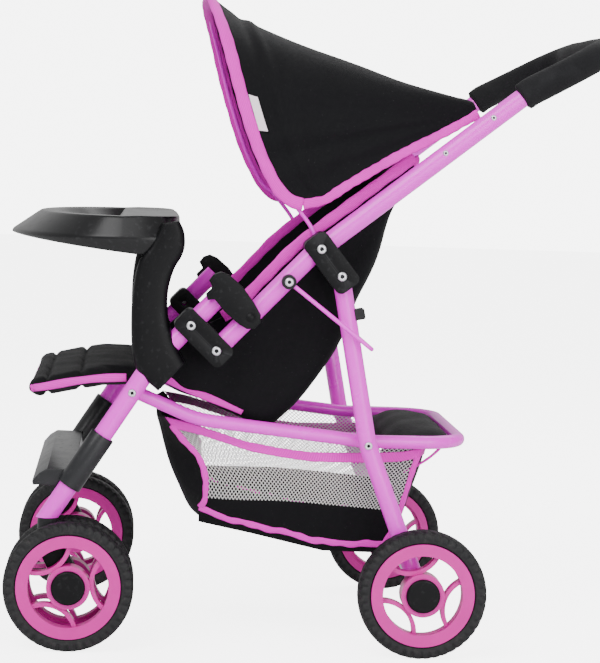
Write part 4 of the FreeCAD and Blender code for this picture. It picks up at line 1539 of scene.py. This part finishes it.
    def shell(self) -> tuple[np.ndarray, np.ndarray]:
        """The bag as one closed ring of columns, with its floor.

        Below the last ring, the rows close in on a middle line and sag.

        Returns:
            The grid, and the mask of its cloth faces, without the net's.
        """
        left = self.side()
        front = self.panel(left, self.front_face, 0)
        rear = self.panel(left, self.rear_face, -1)
        ring = np.concatenate([left[:, :-1], rear[:, :-1], (left * MIRROR)[:, ::-1][:, :-1],
                               front[:, ::-1]], 1)
        base = np.interp(ring[-1][:, 1], *np.array(self.base_line).T)
        fall = np.linspace(0, 1, 6)[1:, None, None]
        low = ring[-1] * np.array([0.985, 1.0, 1.0])
        low[:, 2] = np.minimum(low[:, 2], base)
        ring = np.concatenate([ring, ring[-1] + (low - ring[-1]) * fall])
        last = ring[-1]
        share = np.linspace(0, 1, 26)[1:, None, None]
        target = last * np.array([0.0, 1.0, 1.0])
        target[:, 1] = np.clip(target[:, 1], 150, 255)
        sag = self.floor_drop * np.sin(share[..., 0] * math.pi / 2) * step(112, 138, last[:, 1])
        floor = last + (target - last) * share
        floor[..., 2] = np.maximum(floor[..., 2] - sag, self.floor_low)
        grid = np.concatenate([ring, floor], 0)
        keep = np.ones((grid.shape[0] - 1, grid.shape[1] - 1), bool)
        net_rows = round(self.band * (self.rows - 1))
        width = self.cols - 1
        keep[:net_rows, :width] = False
        right = width + 60
        keep[:net_rows, right:right + width] = False
        return grid, keep

    def net(self, side: np.ndarray) -> list[np.ndarray]:
        """Diagonal yarns over the side, in two families that pass over each other.

        Yarn k of a family starts at pitch * k along the edge; a point on it is
        the side's surface at that place, pushed out and in by a sine of the way.

        Args:
            side: a side's grid.

        Returns:
            One grid per yarn.
        """
        length = float(lengths(side[self.rows // 3])[-1])
        height = float(lengths(side[:, self.cols // 2])[-1]) * self.band
        gap = self.pitch * math.sqrt(2)
        starts = np.arange(-height, length, gap)
        out = facing(side)
        lift = 0.3 * np.sign(out[5, 5, 0] * side[5, 5, 0])
        ring = oval(self.yarn, self.yarn, 2.0, 4)
        grids = []
        for lean in (1, -1):
            for start in starts:
                low, high = max(0.0, start), min(length, start + height)
                if high - low < 3:
                    continue
                p = np.linspace(low, high, 26)
                rows = (p - start) / height * self.band
                cols = (p if lean > 0 else length - p) / length
                line = pick(side, rows, cols) + pick(out, rows, cols) * lift * lean
                grids.append(swept(line, ring, np.array([1.0, 0.0, 0.0])))
        return grids

    def tape(self, line: np.ndarray, wide: float, thick: float, normal: np.ndarray,
             ripple: float = 0.05) -> np.ndarray:
        """Tape along an edge: a flat oval with a slightly uneven width."""
        along = np.arange(len(line))
        size = 1 + ripple * np.sin(along / 2.1) + ripple * np.sin(along / 6.7)
        return ribbon(line, thick * size, wide * size, normal, count=16)

    def bindings(self) -> list[np.ndarray]:
        """Tapes round each side's edge: down the front seam, along the bottom, up the rear."""
        tapes = []
        for sign in (1.0, -1.0):
            side = self.side() * np.array([sign, 1.0, 1.0])
            lift = np.array([sign * 0.8, 0.0, 0.0])
            out = np.array([sign, 0.0, 0.0])
            front = even(side[4:, 0], 90) + lift
            bottom = even(side[-1], 150) + lift
            rear = even(side[6:, -1], 90) + lift
            for line, wide, thick in ((front, 1.1, 2.7), (bottom, 1.2, 3.0), (rear, 1.1, 2.4)):
                tapes.append(self.tape(line, wide, thick, out, 0.08))
        return tapes

    def hem(self, grid: np.ndarray) -> np.ndarray:
        """Tape round the bag's sides and rear, below the tube, lifted off the shell.

        Along the left side its rows are those whose height is nearest to the hem
        line's; the rear follows the corner's, and the right side mirrors the left.
        """
        body = grid[:self.rows]
        side, rear = self.cols - 1, 60
        middle = np.interp(body[:, :side, 1], *np.array(self.hem_line).T)
        found = np.abs(body[:, :side, 2] - middle).argmin(0) / (self.rows - 1)
        found = np.convolve(np.pad(found, 4, "edge"), np.ones(9) / 9, "valid")
        rows = np.concatenate([found, np.full(rear, found[-1]), found[::-1]])
        cols = np.arange(len(rows)) / (body.shape[1] - 1)
        share = np.linspace(-self.hem_half, self.hem_half, 8)[:, None]
        band = pick(body, rows[None, :] + share, cols[None, :] + 0 * share)
        out = unit((band - np.array([0.0, 195.0, 150.0])) * np.array([1.0, 0.6, 0.0]))
        return band + out * 1.3

    def flap(self) -> np.ndarray:
        """Rear flap: a sheet over the rear tube that humps up and comes down into the bag."""
        line = curve(self.flap_line, 60)
        across = np.linspace(-1, 1, 81)[None, :]
        x = self.flap_half * across + 0 * line[:, 0:1]
        dip = 1 - 0.92 * np.abs(across) ** 5
        z = 184 + (line[:, 1:2] - 184) * dip
        ease = step(0, 0.3, np.sin(np.linspace(0, math.pi, 60)))[:, None]
        z = z + 0.7 * np.sin(across * 11 + line[:, 0:1] / 9) * ease
        return np.stack([x, line[:, 0:1] + 0 * x, z], 2)

    def drop(self) -> list[np.ndarray]:
        """Side edges of the flap's tail: tapes from the rear tube down to the bag."""
        tail = curve(self.tail_line, 60)
        return [self.tape(np.column_stack([np.full(60, self.tail_x * side), tail]), 2.2, 1.2,
                          np.array([side, 0.0, 0.0])) for side in SIDES.values()]

    def build(self) -> None:
        """Makes the bag, its net, tapes and flap."""
        grid, keep = self.shell()
        bag = thick_sheet("basket_bag_cloth", grid, 1.3, keep)
        pieces = [settle(bag, Look.BASE, "basket_frame", ["basket_bag"])]
        for name, sign in SIDES.items():
            side = self.side() * np.array([sign, 1.0, 1.0])
            net = grid_object("basket_net_" + name, self.net(side), closed=False)
            pieces.append(settle(net, Look.YARN, "basket_frame"))
        tapes = grid_object("basket_edge_tapes", self.bindings() + self.drop(), closed=True)
        pieces.append(settle(tapes, Look.TAPE, "basket_frame"))
        hem = thick_sheet("basket_top_hem", self.hem(grid), 1.2)
        pieces.append(settle(hem, Look.TAPE, "basket_frame"))
        flap = thick_sheet("basket_rear_flap", self.flap(), 1.4)
        pieces.append(settle(flap, Look.BASE, "basket_frame"))
        for piece in pieces:
            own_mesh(piece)


# ---------------------------------------------------------------------- studio
@dataclass
class Studio:
    """Pale floor, soft lights and the camera."""
    spot: tuple[float, float, float] = (2235.2, 48.6, 448.3)
    yaw: float = 4.10
    pitch: float = 4.413
    roll: float = 1.923
    lens: float = 128.63
    ambient: float = 0.9
    backdrop: float = 6.4
    aim: tuple[float, float, float] = (0.0, 0.0, 0.25)
    # place in metres, width in metres, power in watts
    lights: tuple = (("key_light", (1.7, -1.1, 2.0), 1.6, 58.0),
                     ("fill_light", (2.4, 1.0, 0.9), 1.8, 44.0),
                     ("rim_light", (-1.0, 0.6, 1.9), 1.4, 18.0))

    def floor(self) -> None:
        """A wide flat floor, a grid of four quads."""
        spread = np.linspace(-9000, 9000, 3)
        x, y = np.meshgrid(spread, spread)
        floor = grid_object("floor", [np.stack([x, y, 0 * x], 2)], closed=False)
        floor.data.materials.append(material(Look.FLOOR))

    def light(self, name: str, spot: Sequence[float], size: float, power: float) -> None:
        """A square soft light aimed at the stroller's middle.

        Args:
            name: the light's name.
            spot: its place in metres.
            size: its width in metres.
            power: its power in watts.
        """
        data = bpy.data.lights.new(name, "AREA")
        data.size, data.energy = size, power
        lamp = bpy.data.objects.new(name, data)
        bpy.context.scene.collection.objects.link(lamp)
        lamp.location = spot
        towards = Vector(self.aim) - Vector(spot)
        lamp.rotation_euler = towards.to_track_quat("-Z", "Y").to_euler()

    def camera(self) -> None:
        """Camera axes: forward from yaw and pitch, then right and up turned by the roll."""
        yaw, pitch, roll = (math.radians(x) for x in (self.yaw, self.pitch, self.roll))
        forward = Vector((-math.cos(yaw) * math.cos(pitch), math.sin(yaw) * math.cos(pitch),
                          -math.sin(pitch)))
        right = forward.cross(Vector((0, 0, 1))).normalized()
        up = right.cross(forward)
        across = right * math.cos(roll) + up * math.sin(roll)
        above = up * math.cos(roll) - right * math.sin(roll)
        data = bpy.data.cameras.new("camera")
        data.lens = self.lens
        camera = bpy.data.objects.new("camera", data)
        bpy.context.scene.collection.objects.link(camera)
        turn = Matrix((across, above, -forward)).transposed()
        spot = Vector(place(np.array(self.spot)))
        camera.matrix_world = Matrix.Translation(spot) @ turn.to_4x4()
        bpy.context.scene.camera = camera

    def build(self) -> None:
        """Makes the floor, the lights, the world and the camera."""
        self.floor()
        for light in self.lights:
            self.light(*light)
        world = bpy.data.worlds.new("studio")
        world.use_nodes = True
        tree = world.node_tree
        path, blend = tree.nodes.new("ShaderNodeLightPath"), tree.nodes.new("ShaderNodeMix")
        blend.data_type = "RGBA"
        colours = {socket.identifier: socket for socket in blend.inputs}
        colours["A_Color"].default_value = (*[self.ambient] * 3, 1)
        colours["B_Color"].default_value = (*[self.backdrop] * 3, 1)
        tree.links.new(path.outputs["Is Camera Ray"], colours["Factor_Float"])
        tree.links.new(blend.outputs[2], tree.nodes["Background"].inputs["Color"])
        bpy.context.scene.world = world
        self.camera()


def main() -> None:
    """Builds the stroller's looks in order and reports each piece."""
    logging.basicConfig(level=logging.INFO, format="%(message)s")
    for part in (Studio(), Wheels(), Chassis(), Tray(), LegRest(), Seat(), Canopy(), Basket()):
        part.build()
        log.info("%s built", type(part).__name__)


if __name__ == "__main__":
    main()
